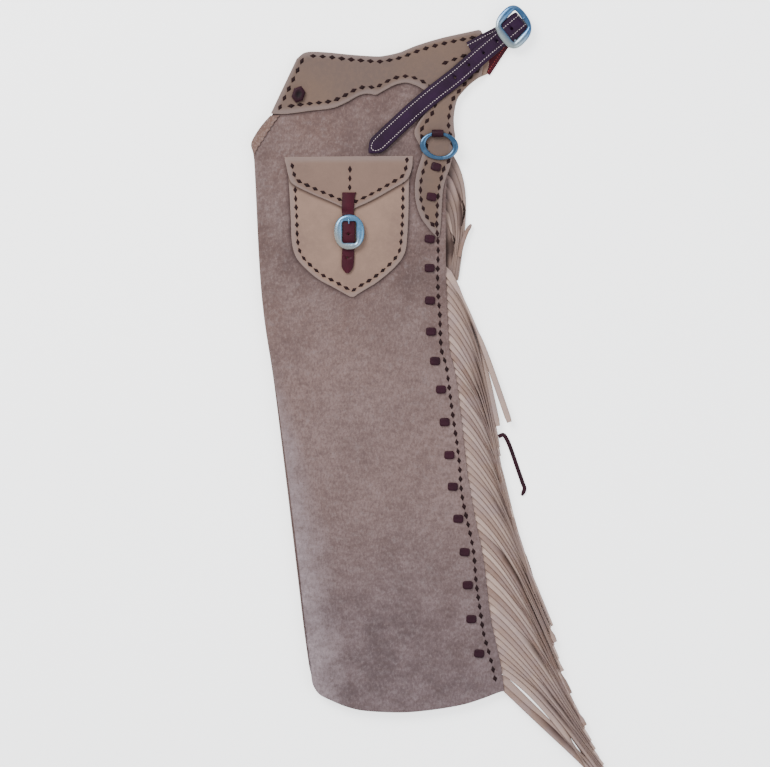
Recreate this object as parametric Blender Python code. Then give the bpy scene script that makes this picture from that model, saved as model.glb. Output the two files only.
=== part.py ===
"""Western shotgun chaps of suede, folded in half at the centre front and lying flat on the floor.

Every table is in millimetres as the garment lies: "across" runs to the right from the waist's front
corner and "down" runs from the waist to the hem. Heights are millimetres above the floor.
"""

import math

import bpy
import numpy as np

# Garment frame and world
MM = 0.001
GARMENT = "chaps"
MIDDLE_ACROSS = 203.5
MIDDLE_DOWN = 509.7
GAP = 0.3
LAID_GAP = 0.4
SHARP_ANGLE = 40.0

# Leather
SUEDE = 2.0
YOKE_LEATHER = 2.6
POCKET_LEATHER = 1.8
STRAP_LEATHER = 2.2
LACE = 1.6
FOLD_RADIUS = 4.2
FOLD_STEPS = 5

# The ground beside the leg, which the yoke's arm follows as it slopes down
SLOPE_WIDTH = 34.0
SLOPE_DROP = 2.4

# Belt
STRAP_WIDTH = 27.0
BUCKLE_ACROSS = 309.6
BUCKLE_DOWN = -40.6
BUCKLE_ANGLE = 42.0
BUCKLE_LONG = 25.5
BUCKLE_WIDE = 26.6
WINDOW_HALF = 15.4
WINDOW_SHIFT = 1.6
BUCKLE_STRETCH = (0.93, 1.12)  # across, down
RIM_LOW = 14.8
RIM_HIGH = 18.6
BAR_RADIUS = 1.5
BAR_HEIGHT = 7.3
BAR_OVERHANG = 4.6
CHAPE_CLEAR = 0.4
CHAPE_TAIL = 9.0
TONGUE_RADIUS = 1.3
TONGUE_BESIDE = 0.5

# Fringe
NEAR_WIDTH = 8.6
FAR_WIDTH = 5.8
STRAND_THICK = 1.6
STRAND_CLEAR = 0.6
STRAND_TIP = 0.8
NEAR_STRANDS = 52
NEAR_ROOTS = (309.0, 914.0)
NEAR_LEVEL = 10.8
NEAR_STEPS = 7
FAR_STRANDS = 20
FAR_ROOTS = (352.0, 908.0)
FAR_LEVEL = 3.2
FAR_STEPS = 6

# Ring and its loop
LOOP_ACROSS = 199.5
LOOP_DOWN = 114.2
LOOP_LENGTH = 17.0
LOOP_INNER = 3.6
LOOP_OUTER = 5.4
RING_LONG = 23.9
RING_SHORT = 17.6
RING_THICK = 2.0
RING_TURN = -8.5
RING_TILT = 3.0
RING_AT_SIDES = 2.0
RING_AT_FOOT = 0.75

# The leg's outline, each side from the waist down or from left to right
LEG_TOP = [  # across, down
    (-1.5, 7.5), (8.7, 1.5), (34.8, 0.5), (68.0, 4.0), (113.0, 7.0),
    (146.5, 1.0), (168.0, -8.0), (197.0, -17.0), (214.0, -21.0),
]
LEG_LEFT = [  # across, down
    (-1.5, 7.5), (-42.0, 86.4), (-60.2, 106.7), (-69.8, 121.6), (-71.4, 131.4), (-67.8, 145.0),
    (-65.3, 181.0), (-55.8, 355.0), (-39.2, 471.0), (-21.0, 616.0), (-3.6, 761.0), (5.1, 834.0),
    (13.1, 892.0),
]
LEG_HEM = [  # across, down
    (13.1, 892.0), (17.2, 908.0), (22.5, 920.5), (30.5, 928.7), (44.4, 935.5), (66.7, 944.8),
    (94.3, 951.0), (145.0, 953.4), (187.0, 950.3), (233.5, 942.8), (263.9, 933.7), (288.6, 924.4),
    (296.2, 922.8),
]
LEG_RIGHT = [  # across, down
    (214.0, -21.0), (217.0, 36.0), (216.5, 123.0), (215.5, 160.0), (211.7, 197.0), (211.5, 258.0),
    (211.7, 300.0), (212.6, 341.0), (216.5, 423.0), (223.0, 449.5), (229.0, 487.0), (238.5, 568.0),
    (243.6, 612.0), (253.8, 670.0), (263.9, 718.0), (269.5, 758.0), (275.8, 812.0), (283.0, 847.0),
    (291.0, 884.0), (296.2, 922.8),
]

# Height of the near panel's top face
PILE = [  # down, at the left edge, crown, at the right edge
    (-30.0, 8.5, 0.5, 8.5), (60.0, 10.0, 1.5, 9.5), (130.0, 14.0, 2.5, 13.4), (180.0, 16.2, 4.0, 13.4),
    (300.0, 16.8, 5.0, 13.4), (600.0, 16.8, 5.0, 13.4), (820.0, 16.4, 3.8, 13.4), (955.0, 15.6, 1.2, 13.4),
]
WRAP = [  # down, how much of a half turn the panel's left edge makes round the fold
    (-30.0, 0.15), (125.0, 0.15), (165.0, 1.0), (955.0, 1.0),
]
CREASE = [  # down, how far in from the fold the long soft crease runs, its height
    (330.0, 24.0, 0.0), (520.0, 30.0, 1.1), (720.0, 44.0, 1.3), (860.0, 46.0, 0.9), (930.0, 40.0, 0.2),
]
CREASE_WIDTH = 9.0

# Rims of the hidden layers from the top face to the floor: share of the height, then inset, a side each
LAYERS = [  # left share, left inset, right share, right inset, hem share, hem inset
    (1.00, 9.0, 1.000, 11.6, 1.00, 3.6), (0.93, 6.4, 0.810, 11.4, 0.82, 3.3),
    (0.62, 5.6, 0.800, 1.2, 0.80, 1.4), (0.55, 5.2, 0.640, 1.1, 0.64, 1.4),
    (0.515, 3.6, 0.610, 2.8, 0.61, 2.9), (0.46, 1.7, 0.575, 0.9, 0.575, 1.1),
    (0.38, 0.6, 0.422, 0.9, 0.42, 1.0), (0.28, 0.3, 0.415, 11.2, 0.41, 3.2),
    (0.18, 0.6, 0.195, 11.2, 0.20, 3.2), (0.08, 1.6, 0.185, 0.8, 0.19, 0.9),
    (0.00, 3.8, 0.000, 1.1, 0.00, 1.4),
]

# The yoke as stations from the front edge to the tongue's tip
YOKE = [  # outer across, outer down, inner across, inner down
    (-4.9, 4.8, -42.6, 84.7), (8.4, -4.6, -20.3, 85.1), (34.8, -4.8, 13.0, 80.9), (68.2, -1.5, 46.4, 76.9),
    (90.0, 0.3, 66.1, 69.2), (113.1, 1.5, 84.1, 59.2), (123.0, 0.4, 97.2, 55.8), (133.4, -1.5, 110.5, 58.0),
    (146.5, -5.2, 123.8, 50.2), (168.2, -14.1, 139.2, 42.5), (197.2, -23.2, 154.9, 39.9),
    (223.3, -29.7, 170.5, 44.7), (261.6, -38.1, 181.5, 51.3), (266.5, -27.6, 186.0, 61.0),
    (268.3, -4.4, 187.0, 71.0), (263.3, 29.4, 182.7, 82.7), (248.5, 40.6, 174.0, 94.3),
    (237.5, 51.6, 168.2, 104.4), (228.2, 64.5, 166.0, 110.2), (223.6, 86.7, 167.2, 118.2),
    (223.6, 105.1, 173.6, 130.5), (225.5, 117.5, 178.4, 142.1), (222.6, 137.8, 174.0, 155.7),
    (217.5, 161.8, 169.1, 172.0), (211.7, 178.4, 166.5, 191.4), (207.4, 195.8, 168.2, 214.6),
    (205.6, 220.4, 175.9, 236.4), (204.2, 245.9, 189.2, 254.5), (202.3, 262.5, 198.7, 264.6),
]
YOKE_CORNERS = (0, 7, 12, 15, 21, 28)
FAR_ARM = [  # outer across, outer down, inner across, inner down
    (221.0, -27.0, 221.0, 60.0), (240.0, -31.0, 240.0, 46.0), (260.0, -33.0, 258.0, 33.0),
    (269.0, -20.0, 270.5, 27.3), (274.5, 11.0, 270.6, 26.8),
]
FAR_ARM_LOW = 3.0
FACING = [  # outer across, outer down, inner across, inner down
    (-43.2, 87.6, -29.9, 87.4), (-52.8, 98.2, -38.8, 100.0), (-61.2, 109.6, -48.3, 114.6),
    (-69.4, 123.8, -58.6, 130.5), (-70.2, 133.0, -63.0, 137.8), (-67.4, 142.8, -65.6, 143.6),
]
POCKET = [  # left across, left down, right across, right down
    (-18.1, 159.5, 160.2, 159.5), (-16.0, 182.7, 158.0, 182.7), (-13.0, 237.8, 157.2, 229.1),
    (-12.0, 265.9, 155.2, 265.9), (-8.4, 286.2, 151.5, 288.0), (0.0, 301.2, 138.6, 306.7),
    (23.9, 323.4, 112.8, 328.9), (49.9, 337.9, 88.7, 343.7), (73.2, 351.0, 78.3, 351.0),
]
FLAP = [  # left across, left down, right across, right down
    (-22.3, 148.2, 163.6, 146.6), (-21.3, 155.0, 163.2, 155.0), (-19.4, 162.4, 162.1, 163.9),
    (-16.0, 176.9, 155.2, 180.8), (-9.3, 188.2, 134.9, 193.9), (16.5, 201.3, 107.2, 209.5),
    (42.5, 212.3, 89.9, 217.8), (68.9, 224.2, 75.4, 224.2),
]

# Where the flap climbs over the pocket's top edge and where its strap comes off the flap: down, how long
FLAP_STEP = (151.0, 7.0)
STRAP_STEP = (222.0, 6.0)

# Side ties: two slits each, with the lace lying between them
TIES = [  # across, down, turn in degrees
    (197.2, 162.4, 15.0), (190.7, 205.9, 10.0), (188.0, 266.8, 8.0), (187.9, 308.9, 0.0),
    (188.5, 356.0, 2.0), (190.0, 401.0, 0.0), (195.8, 443.7, 2.0), (204.5, 485.0, 0.0),
    (209.8, 532.2, -2.0), (216.5, 580.0, 0.0), (221.6, 625.8, 2.0), (229.4, 672.4, 3.0),
    (238.8, 720.7, 4.0), (243.2, 768.5, 0.0), (248.4, 817.8, 0.0), (259.8, 867.8, 5.0),
]
KNOT = (-2.2, 57.3, 8.6, 11.0, 6.0, 18.0)  # across, down, half long, half wide, thick, turn in degrees
TIE_HALF_LONG = 7.6
TIE_HALF_WIDE = 6.2
TIE_THICK = 2.4

# Straps: a row for each point of the middle line
BILLET_TOP = [  # across, down, lift above what it lies on
    (99.8, 142.3, 0.4), (113.1, 129.8, 0.4), (139.2, 105.1, 0.5), (165.7, 80.5, 0.6),
    (194.3, 56.3, 0.6), (224.8, 32.6, 1.2),
]
BILLET_REST = [  # across, down, height of its underside
    (245.1, 15.0, 12.6), (266.1, -3.6, 12.5), (283.0, -18.0, 11.9), (290.5, -24.4, 11.8),
    (302.0, -34.2, 12.0), (311.0, -41.8, 12.3), (317.0, -46.9, 11.6),
]
BILLET_NOSE = (319.6, -49.1)
BILLET_UNDER = [  # across, down, height of its underside
    (315.0, -46.0, 0.6), (303.0, -33.0, 0.4), (290.4, -18.3, 0.4), (277.0, 1.8, 0.4), (264.5, 20.5, 0.4),
]
BILLET_POINT = (0.12, 0.45, 0.78, 0.96)  # shares of the width from the tip on
BILLET_HOLES = [  # across, down
    (224.8, 32.6), (245.1, 14.6), (266.1, -3.0), (285.7, -20.3), (307.0, -38.4),
]
HOLE_RADIUS = 2.1
TONGUE = [  # past the window's edge, height
    (-1.2, RIM_LOW + 1.0), (0.7, RIM_HIGH + 2.3), (3.5, RIM_HIGH + 1.9),
]
CHAPE_START = (247.5, -7.5)
CHAPE_END = (303.6, -37.3)
CHAPE_LOW = 8.8
POCKET_STRAP = [  # across, down, half width, lift above the flap or the pocket
    (71.5, 200.0, 10.2, 0.4), (70.5, 206.0, 9.2, 0.4), (69.8, 216.0, 8.9, 0.5), (69.6, 229.0, 8.7, 0.9),
    (70.6, 238.0, 8.7, 2.6), (71.0, 245.0, 8.7, 4.2), (71.0, 266.0, 8.7, 4.2), (70.6, 273.0, 8.7, 2.4),
    (70.0, 285.0, 8.9, 0.8), (69.4, 300.0, 8.9, 0.6), (69.0, 309.0, 7.8, 0.6), (68.9, 316.5, 2.6, 0.6),
]
POCKET_BUCKLE_ACROSS = 71.6
POCKET_BUCKLE_DOWN = 257.5
POCKET_BUCKLE_HALF = (21.8, 25.4)
POCKET_WINDOW_HALF = (10.3, 15.6)
POCKET_BUCKLE_LIFT = 7.0
POCKET_BUCKLE_THICK = 3.4
POCKET_TONGUE = [  # below the window's top edge, lift
    (4.0, 0.4), (0.0, 0.3), (-3.4, 0.0),
]
POCKET_TONGUE_ACROSS = 71.0
POCKET_TONGUE_RADIUS = 1.0
POCKET_TONGUE_CLEAR = 1.3

# Fringe: direction in degrees below the across axis, where a strand leaves the seam and where it ends
NEAR_COMB = [  # root down, leaving, hanging, length
    (309.0, 56.0, 71.0, 243.0), (321.0, 50.0, 75.0, 240.0), (335.0, 45.5, 78.5, 238.0),
    (355.0, 43.5, 80.0, 236.0), (470.0, 42.0, 77.0, 234.0),
    (572.0, 40.0, 71.5, 240.0), (616.0, 39.0, 66.5, 244.0), (717.0, 39.0, 66.5, 244.0),
    (761.0, 38.0, 60.5, 246.0), (805.0, 38.0, 57.5, 246.0), (848.0, 40.0, 52.3, 246.0),
    (891.0, 35.0, 51.5, 250.0), (901.0, 45.0, 44.5, 254.0), (921.0, 44.5, 43.5, 256.0),
]
FAR_COMB = [  # root down, leaving, hanging, length
    (140.0, 50.0, 98.0, 192.0), (191.0, 54.0, 97.0, 138.0), (242.0, 64.0, 93.0, 82.0),
    (345.0, 46.0, 79.0, 214.0), (470.0, 44.0, 76.0, 214.0), (572.0, 40.0, 69.5, 218.0),
    (717.0, 38.0, 64.0, 224.0), (805.0, 38.0, 56.0, 226.0), (880.0, 35.0, 51.5, 232.0),
    (908.0, 45.0, 44.0, 240.0),
]
TUCKED_ROOTS = (140.0, 157.0, 174.0, 191.0, 208.0, 225.0, 242.0)
STRIP_NEAR = (9.0, 10.8)
STRIP_FAR = (2.3, 4.1)
STRIP_OUTER_INSET = 1.6
STRIP_INNER_INSET = 9.6
STRIP_END_INSET = 5.0
STRIP_NARROWS = 885.0

LACE_END = [  # across, down, height of its underside
    (291.6, 536.0, 5.8), (295.6, 549.5, 5.2), (300.4, 558.4, 3.2), (307.1, 573.5, 0.5),
    (315.2, 597.0, 0.5), (323.4, 620.6, 0.5), (326.2, 629.5, 0.5), (322.4, 639.5, 0.5),
]
STRAY_END = [  # across, down, height of its underside
    (231.0, 292.0, 7.0), (236.0, 272.0, 6.6), (242.0, 256.0, 6.2), (248.5, 245.0, 4.2),
]
LACE_WIDTH = 6.0

COLOURS = {  # red, green, blue, roughness, metallic
    "suede": (0.23, 0.18, 0.155, 0.95, 0.0),
    "smooth": (0.33, 0.26, 0.20, 0.6, 0.0),
    "fringe": (0.42, 0.34, 0.28, 0.75, 0.0),
    "strap": (0.05, 0.016, 0.03, 0.45, 0.0),
    "oxblood": (0.10, 0.02, 0.03, 0.5, 0.0),
    "metal": (0.6, 0.63, 0.68, 0.2, 1.0),
}


def line(points, steps):
    """A smooth line through the points, with that many steps between neighbours."""
    p = np.array(points, float)
    ends = np.vstack([2 * p[0] - p[1], p, 2 * p[-1] - p[-2]])
    rows = []
    for i in range(1, len(ends) - 2):
        a, b, c, d = ends[i - 1 : i + 3]
        for t in np.arange(steps) / steps:
            bend = (2 * a - 5 * b + 4 * c - d) * t**2 + (3 * b - a - 3 * c + d) * t**3
            rows.append(0.5 * (2 * b + (c - a) * t + bend))
    rows.append(p[-1])
    return np.array(rows)


def even(points, count):
    """The line again, as that many stretches of one length."""
    fine = line(points, 8)
    along = np.concatenate([[0], np.cumsum(np.linalg.norm(np.diff(fine[:, :2], axis=0), axis=1))])
    at = np.linspace(0, along[-1], count + 1)
    return np.stack([np.interp(at, along, fine[:, k]) for k in range(fine.shape[1])], axis=1)


def runs(table, corners, steps):
    """Rows of a table smoothed between its corners."""
    out = []
    for first, last in zip(corners[:-1], corners[1:]):
        out.extend(line(table[first : last + 1], steps)[: None if last == corners[-1] else -1])
    return np.array(out)


def patch(top, bottom, left, right):
    """A grid of plan points between four sides."""
    n, m = len(top) - 1, len(left) - 1
    s = np.linspace(0, 1, n + 1)[None, :, None]
    t = np.linspace(0, 1, m + 1)[:, None, None]
    ruled = (1 - t) * top[None] + t * bottom[None] + (1 - s) * left[:, None] + s * right[:, None]
    corners = (1 - t) * ((1 - s) * top[0] + s * top[-1]) + t * ((1 - s) * bottom[0] + s * bottom[-1])
    return ruled - corners


def across_between(stations, count):
    """A grid of plan points between the two sides of a table of stations."""
    share = np.linspace(0, 1, count + 1)[None, :, None]
    return (1 - share) * stations[:, None, 0:2] + share * stations[:, None, 2:4]


FINE_LEFT = line(LEG_LEFT, 6)
FINE_RIGHT = line(LEG_RIGHT, 6)


def by_down(table, down, column):
    rows = np.array(table)
    return np.interp(down, rows[:, 0], rows[:, column])


def eased(table, down, column):
    """A table's column, with its kinks rounded off."""
    return sum(by_down(table, down + k, column) for k in (-30.0, -15.0, 0.0, 15.0, 30.0)) / 5


def leg_left(down):
    return np.interp(down, FINE_LEFT[:, 1], FINE_LEFT[:, 0])


def leg_right(down):
    return np.interp(down, FINE_RIGHT[:, 1], FINE_RIGHT[:, 0])


def panel_top(across, down):
    """Height of the near leg panel's top face, and of the ground beside it for what runs past it."""
    left, right = leg_left(down), leg_right(down)
    share = np.clip((across - left) / (right - left), 0, 1)
    height = (1 - share) * eased(PILE, down, 1) + share * eased(PILE, down, 3)
    height = height + eased(PILE, down, 2) * 4 * share * (1 - share)
    offset = (across - left - by_down(CREASE, down, 1)) / CREASE_WIDTH
    height = height + by_down(CREASE, down, 2) * np.exp(-(offset**2))
    past = np.clip((across - right) / SLOPE_WIDTH, 0, 1)
    return height - past * past * (3 - 2 * past) * SLOPE_DROP


def yoke_top(across, down):
    return panel_top(across, down) + LAID_GAP + YOKE_LEATHER


def flap_top(across, down):
    rise = np.clip((down - FLAP_STEP[0]) / FLAP_STEP[1], 0, 1)
    return panel_top(across, down) + LAID_GAP + POCKET_LEATHER + rise * (GAP + POCKET_LEATHER)


def pocket_top(across, down):
    return panel_top(across, down) + LAID_GAP + POCKET_LEATHER


def lifted(plan, height):
    return np.concatenate([plan, np.broadcast_to(height, plan.shape[:2])[..., None]], axis=2)


def material(kind):
    found = bpy.data.materials.get(kind)
    if found:
        return found
    red, green, blue, roughness, metallic = COLOURS[kind]
    made = bpy.data.materials.new(kind)
    made.use_nodes = True
    shader = made.node_tree.nodes["Principled BSDF"]
    shader.inputs["Base Color"].default_value = (red, green, blue, 1)
    shader.inputs["Roughness"].default_value = roughness
    shader.inputs["Metallic"].default_value = metallic
    return made


def world(points):
    """Points of the garment's frame, in millimetres, as metres in the world."""
    p = np.array(points, float).reshape(-1, 3)
    return np.stack([p[:, 0] - MIDDLE_ACROSS, MIDDLE_DOWN - p[:, 1], p[:, 2]], axis=1) * MM


def build(name, points, faces, kind, origin=None):
    """An object from points in the garment's frame, with its origin at its middle or where it turns."""
    placed = world(points)
    middle = (placed.min(axis=0) + placed.max(axis=0)) / 2 if origin is None else world(origin)[0]
    mesh = bpy.data.meshes.new(name)
    mesh.from_pydata((placed - middle).tolist(), [], faces)
    mesh.validate()
    # The volume's sign says whether the faces point out.
    mesh.calc_loop_triangles()
    corners = np.array([[mesh.vertices[i].co for i in t.vertices] for t in mesh.loop_triangles])
    if np.einsum("ij,ij->i", corners[:, 0], np.cross(corners[:, 1], corners[:, 2])).sum() < 0:
        mesh.flip_normals()
    mesh.materials.append(material(kind))
    mesh.shade_smooth()
    mesh.set_sharp_from_angle(angle=math.radians(SHARP_ANGLE))
    thing = bpy.data.objects.new(name, mesh)
    bpy.context.scene.collection.objects.link(thing)
    thing.parent = bpy.data.objects[GARMENT]
    thing.location = middle
    return thing


def border(rows, columns):
    """Index pairs round a grid, once round."""
    top = [(0, j) for j in range(columns)]
    right = [(i, columns - 1) for i in range(1, rows)]
    bottom = [(rows - 1, j) for j in range(columns - 2, -1, -1)]
    left = [(i, 0) for i in range(rows - 2, 0, -1)]
    return top + right + bottom + left


def wall(name, upper, lower, kind, rims=()):
    """A closed solid between two grids, with any rims between their borders."""
    rows, columns = upper.shape[:2]
    points = [*upper.reshape(-1, 3), *lower.reshape(-1, 3)]
    under = rows * columns
    faces = []
    for i in range(rows - 1):
        for j in range(columns - 1):
            k = i * columns + j
            quad = (k, k + columns, k + columns + 1, k + 1)
            faces.append(quad)
            faces.append(tuple(under + q for q in reversed(quad)))
    loop = border(rows, columns)
    rings = [[i * columns + j for i, j in loop]]
    for rim in rims:
        rings.append(list(range(len(points), len(points) + len(rim))))
        points.extend(rim)
    rings.append([under + i * columns + j for i, j in loop])
    for high, low in zip(rings[:-1], rings[1:]):
        for k in range(len(loop)):
            n = (k + 1) % len(loop)
            faces.append((high[k], high[n], low[n], low[k]))
    return build(name, points, faces, kind)


def tube(name, rings, kind, closed=False, origin=None):
    """A solid through rings of points, with its ends capped or joined to each other."""
    sides = len(rings[0])
    points = [p for ring in rings for p in ring]
    count = len(rings)
    faces = []
    for i in range(count if closed else count - 1):
        a, b = i * sides, (i + 1) % count * sides
        for k in range(sides):
            n = (k + 1) % sides
            faces.append((a + k, a + n, b + n, b + k))
    if not closed:
        faces.append(tuple(range(sides))[::-1])
        faces.append(tuple(range((count - 1) * sides, count * sides)))
    return build(name, points, faces, kind, origin)


def unit(v):
    return v / np.maximum(np.linalg.norm(v, axis=-1, keepdims=True), 1e-9)


def leg_plan(rows, columns, left_inset=None):
    """The leg's outline as a grid, with its left side moved in by the fold."""
    left = even(LEG_LEFT, rows)
    if left_inset is not None:
        along = unit(np.gradient(left, axis=0))
        inward = np.stack([along[:, 1], -along[:, 0]], axis=1)
        left = left + inward * left_inset(left[:, 1])[:, None]
    top = even([left[0], *LEG_TOP[1:]], columns)
    hem = even([left[-1], *LEG_HEM[1:]], columns)
    return patch(top, hem, left, even(LEG_RIGHT, rows))


def near_leg():
    """The suede that shows: a flat panel that rolls round the inseam's fold."""

    def turn(down):
        return eased(WRAP, down, 1) * math.pi

    def inset(down):
        return FOLD_RADIUS * np.sin(np.minimum(turn(down), math.pi / 2))

    plan = leg_plan(32, 13, inset)
    height = panel_top(plan[..., 0], plan[..., 1])
    outward = unit(plan[:, 0] - plan[:, 1])
    outer, inner = [], []
    for k in range(FOLD_STEPS):
        angle = turn(plan[:, 0, 1]) * (1 - k / FOLD_STEPS)
        for rows, radius in ((outer, FOLD_RADIUS), (inner, FOLD_RADIUS - SUEDE)):
            side = plan[:, 0] + outward * (radius * np.sin(angle))[:, None]
            level = height[:, 0] - FOLD_RADIUS + radius * np.cos(angle)
            rows.append(np.column_stack([side, level]))
    flat = lifted(plan, height)
    upper = np.concatenate([np.stack(outer, axis=1), flat], axis=1)
    lower = np.concatenate([np.stack(inner, axis=1), flat - (0, 0, SUEDE)], axis=1)
    wall("near_leg_panel", upper, lower, "suede")


def hidden_layers():
    """The near leg's inner side and the whole far leg as one solid, its layers cut in at the edges."""
    rows, columns = 26, 7
    plan = leg_plan(rows, columns)
    loop = border(rows + 1, columns + 1)
    edge = np.array([plan[i, j] for i, j in loop])
    before, after = np.roll(edge, 1, axis=0), np.roll(edge, -1, axis=0)
    along = unit(unit(edge - before) + unit(after - edge))
    inward = np.stack([-along[:, 1], along[:, 0]], axis=1)
    sides = []
    for i, j in loop:
        left, right = j == 0, j == columns
        ends = i in (0, rows)
        total = left + right + ends
        sides.append((left / total, right / total, ends / total))
    sides = np.array(sides)
    height = panel_top(edge[:, 0], edge[:, 1]) - SUEDE - LAID_GAP
    rims = []
    for left_share, left_inset, right_share, right_inset, hem_share, hem_inset in LAYERS:
        share = sides @ (left_share, right_share, hem_share)
        inset = sides @ (left_inset, right_inset, hem_inset)
        rims.append(np.column_stack([edge + inward * inset[:, None], share * height]))

    def fill(rim):
        top = rim[: columns + 1]
        right = rim[columns : columns + rows + 1]
        bottom = rim[columns + rows : 2 * columns + rows + 1][::-1]
        left = np.vstack([rim[2 * columns + rows :], rim[:1]])[::-1]
        return patch(top[:, :2], bottom[:, :2], left[:, :2], right[:, :2])

    upper_plan, lower_plan = fill(rims[0]), fill(rims[-1])
    upper = lifted(upper_plan, panel_top(upper_plan[..., 0], upper_plan[..., 1]) - SUEDE - 2 * GAP)
    for (i, j), point in zip(loop, rims[0]):
        upper[i, j, 2] = min(upper[i, j, 2], point[2])
    wall("hidden_layers", upper, lifted(lower_plan, 0.0), "suede", rims[1:-1])


def on_panel(name, stations, columns, thick, kind, under):
    """A piece of leather that lies on what is under it."""
    plan = across_between(stations, columns)
    low = under(plan[..., 0], plan[..., 1]) + LAID_GAP
    wall(name, lifted(plan, low + thick), lifted(plan, low), kind)


def strand_line(root, leaving, hanging, length, steps):
    """Plan points of a strand that leaves the seam and bends down under its comb."""
    at = np.linspace(0, 1, steps * 4 + 1)
    angle = np.radians(hanging - (hanging - leaving) * (1 - at) ** 3)
    middle = (angle[1:] + angle[:-1]) / 2
    step = length / (steps * 4)
    across = root[0] + np.concatenate([[0], np.cumsum(np.cos(middle))]) * step
    down = root[1] + np.concatenate([[0], np.cumsum(np.sin(middle))]) * step
    return np.column_stack([across, down])[::4], angle[::4]


def fringe(name, roots, comb, strip, width, level, steps):
    """A strip in the outseam with its strands cut from it, as one closed body."""
    half = width / 2
    cuts = np.array([c + s * half for c in roots for s in (-1, 1)])
    outer = np.column_stack([leg_right(cuts) - STRIP_OUTER_INSET, cuts])
    inset = np.where(cuts < STRIP_NARROWS, STRIP_INNER_INSET, STRIP_END_INSET)
    inner = np.column_stack([leg_right(cuts) - inset, cuts])
    low, high = strip
    points = []
    for o, i in zip(outer, inner):
        points.extend([(*i, low), (*i, high), (*o, high), (*o, low)])
    faces = [(0, 1, 2, 3), tuple(len(points) - 4 + k for k in (3, 2, 1, 0))]
    for k in range(len(cuts) - 1):
        a, b = 4 * k, 4 * k + 4
        faces.append((a, b, b + 1, a + 1))
        faces.append((a + 1, b + 1, b + 2, a + 2))
        faces.append((a + 3, a, b, b + 3)[::-1])
        if k % 2:
            faces.append((a + 2, b + 2, b + 3, a + 3))
    lines, angles = [], []
    for k, root in enumerate(roots):
        where = np.array([leg_right(root) - STRIP_OUTER_INSET, root])
        row = [by_down(comb, root, c) for c in (1, 2, 3)]
        row[2] *= 1 + 0.03 * math.sin(2.3 * k) + 0.02 * math.sin(5.1 * k)
        plan, angle = strand_line(where, *row, steps)
        lines.append(plan)
        angles.append(angle)
    for k in range(len(roots)):
        apart = np.full(steps + 1, 99.0)
        for other in (k - 1, k + 1):
            if 0 <= other < len(roots):
                fine = line(lines[other], 6)
                reach = np.linalg.norm(lines[k][:, None] - fine[None], axis=2).min(axis=1)
                apart = np.minimum(apart, reach)
        apart = np.minimum(apart, np.concatenate([apart[:1], apart[:-1]]))
        roll = np.arcsin(np.clip((STRAND_THICK + STRAND_CLEAR) / apart, 0, 0.94))
        base = 8 * k
        ring = [base + 3, base + 7, base + 6, base + 2]
        for s in range(1, steps + 1):
            share = s / steps
            upward = np.array([math.sin(angles[k][s]), -math.cos(angles[k][s]), 0])
            aside = upward * math.cos(roll[s]) - np.array([0, 0, math.sin(roll[s])])
            normal = upward * math.sin(roll[s]) + np.array([0, 0, math.cos(roll[s])])
            rise = (low + high) / 2 + (level - (low + high) / 2) * min(1.0, 2 * share)
            centre = np.array([*lines[k][s], rise])
            across = aside * half * (1.0 if s < steps else STRAND_TIP)
            thick = normal * STRAND_THICK / 2
            now = len(points)
            points.extend([centre + across - thick, centre - across - thick])
            points.extend([centre - across + thick, centre + across + thick])
            new = [now, now + 1, now + 2, now + 3]
            for e in range(4):
                f = (e + 1) % 4
                faces.append((ring[f], ring[e], new[e], new[f]))
            ring = new
        faces.append(tuple(ring[::-1]))
    build(name, points, faces, "fringe")


def fringes():
    near = np.linspace(*NEAR_ROOTS, NEAR_STRANDS)
    far = [*TUCKED_ROOTS, *np.linspace(*FAR_ROOTS, FAR_STRANDS)]
    fringe("near_fringe", near, NEAR_COMB, STRIP_NEAR, NEAR_WIDTH, NEAR_LEVEL, NEAR_STEPS)
    fringe("far_fringe", far, FAR_COMB, STRIP_FAR, FAR_WIDTH, FAR_LEVEL, FAR_STEPS)


def strap(name, rows, half_widths, thick, kind, widths_along=None):
    """A flat strap: rows are the underside's middle points, and the end is brought in by its half widths."""
    p = np.array(rows, float)
    along = unit(np.gradient(p, axis=0))
    side = unit(np.cross(along, (0, 0, 1.0))) if widths_along is None else widths_along
    normal = unit(np.cross(side, along))
    rings = []
    for point, s, n, w in zip(p, side, normal, half_widths):
        rings.append([point - s * w, point + s * w, point + s * w + n * thick, point - s * w + n * thick])
    return tube(name, rings, kind)


def cut_holes(thing, places, radius, low, high):
    """Round holes through a strap."""
    points, faces = [], []
    sides = 10
    for across, down in places:
        base = len(points)
        for level in (low, high):
            for k in range(sides):
                turn = 2 * math.pi * k / sides
                points.append((across + radius * math.cos(turn), down + radius * math.sin(turn), level))
        for k in range(sides):
            n = (k + 1) % sides
            faces.append((base + k, base + n, base + sides + n, base + sides + k))
        faces.append(tuple(base + k for k in reversed(range(sides))))
        faces.append(tuple(base + sides + k for k in range(sides)))
    cutter = build(thing.name + "_punch", points, faces, "metal")
    cutter.hide_render = True
    cutter.display_type = "WIRE"
    cutter.hide_set(True)
    punch = thing.modifiers.new("holes", "BOOLEAN")
    punch.operation = "DIFFERENCE"
    punch.solver = "EXACT"
    punch.object = cutter


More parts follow.
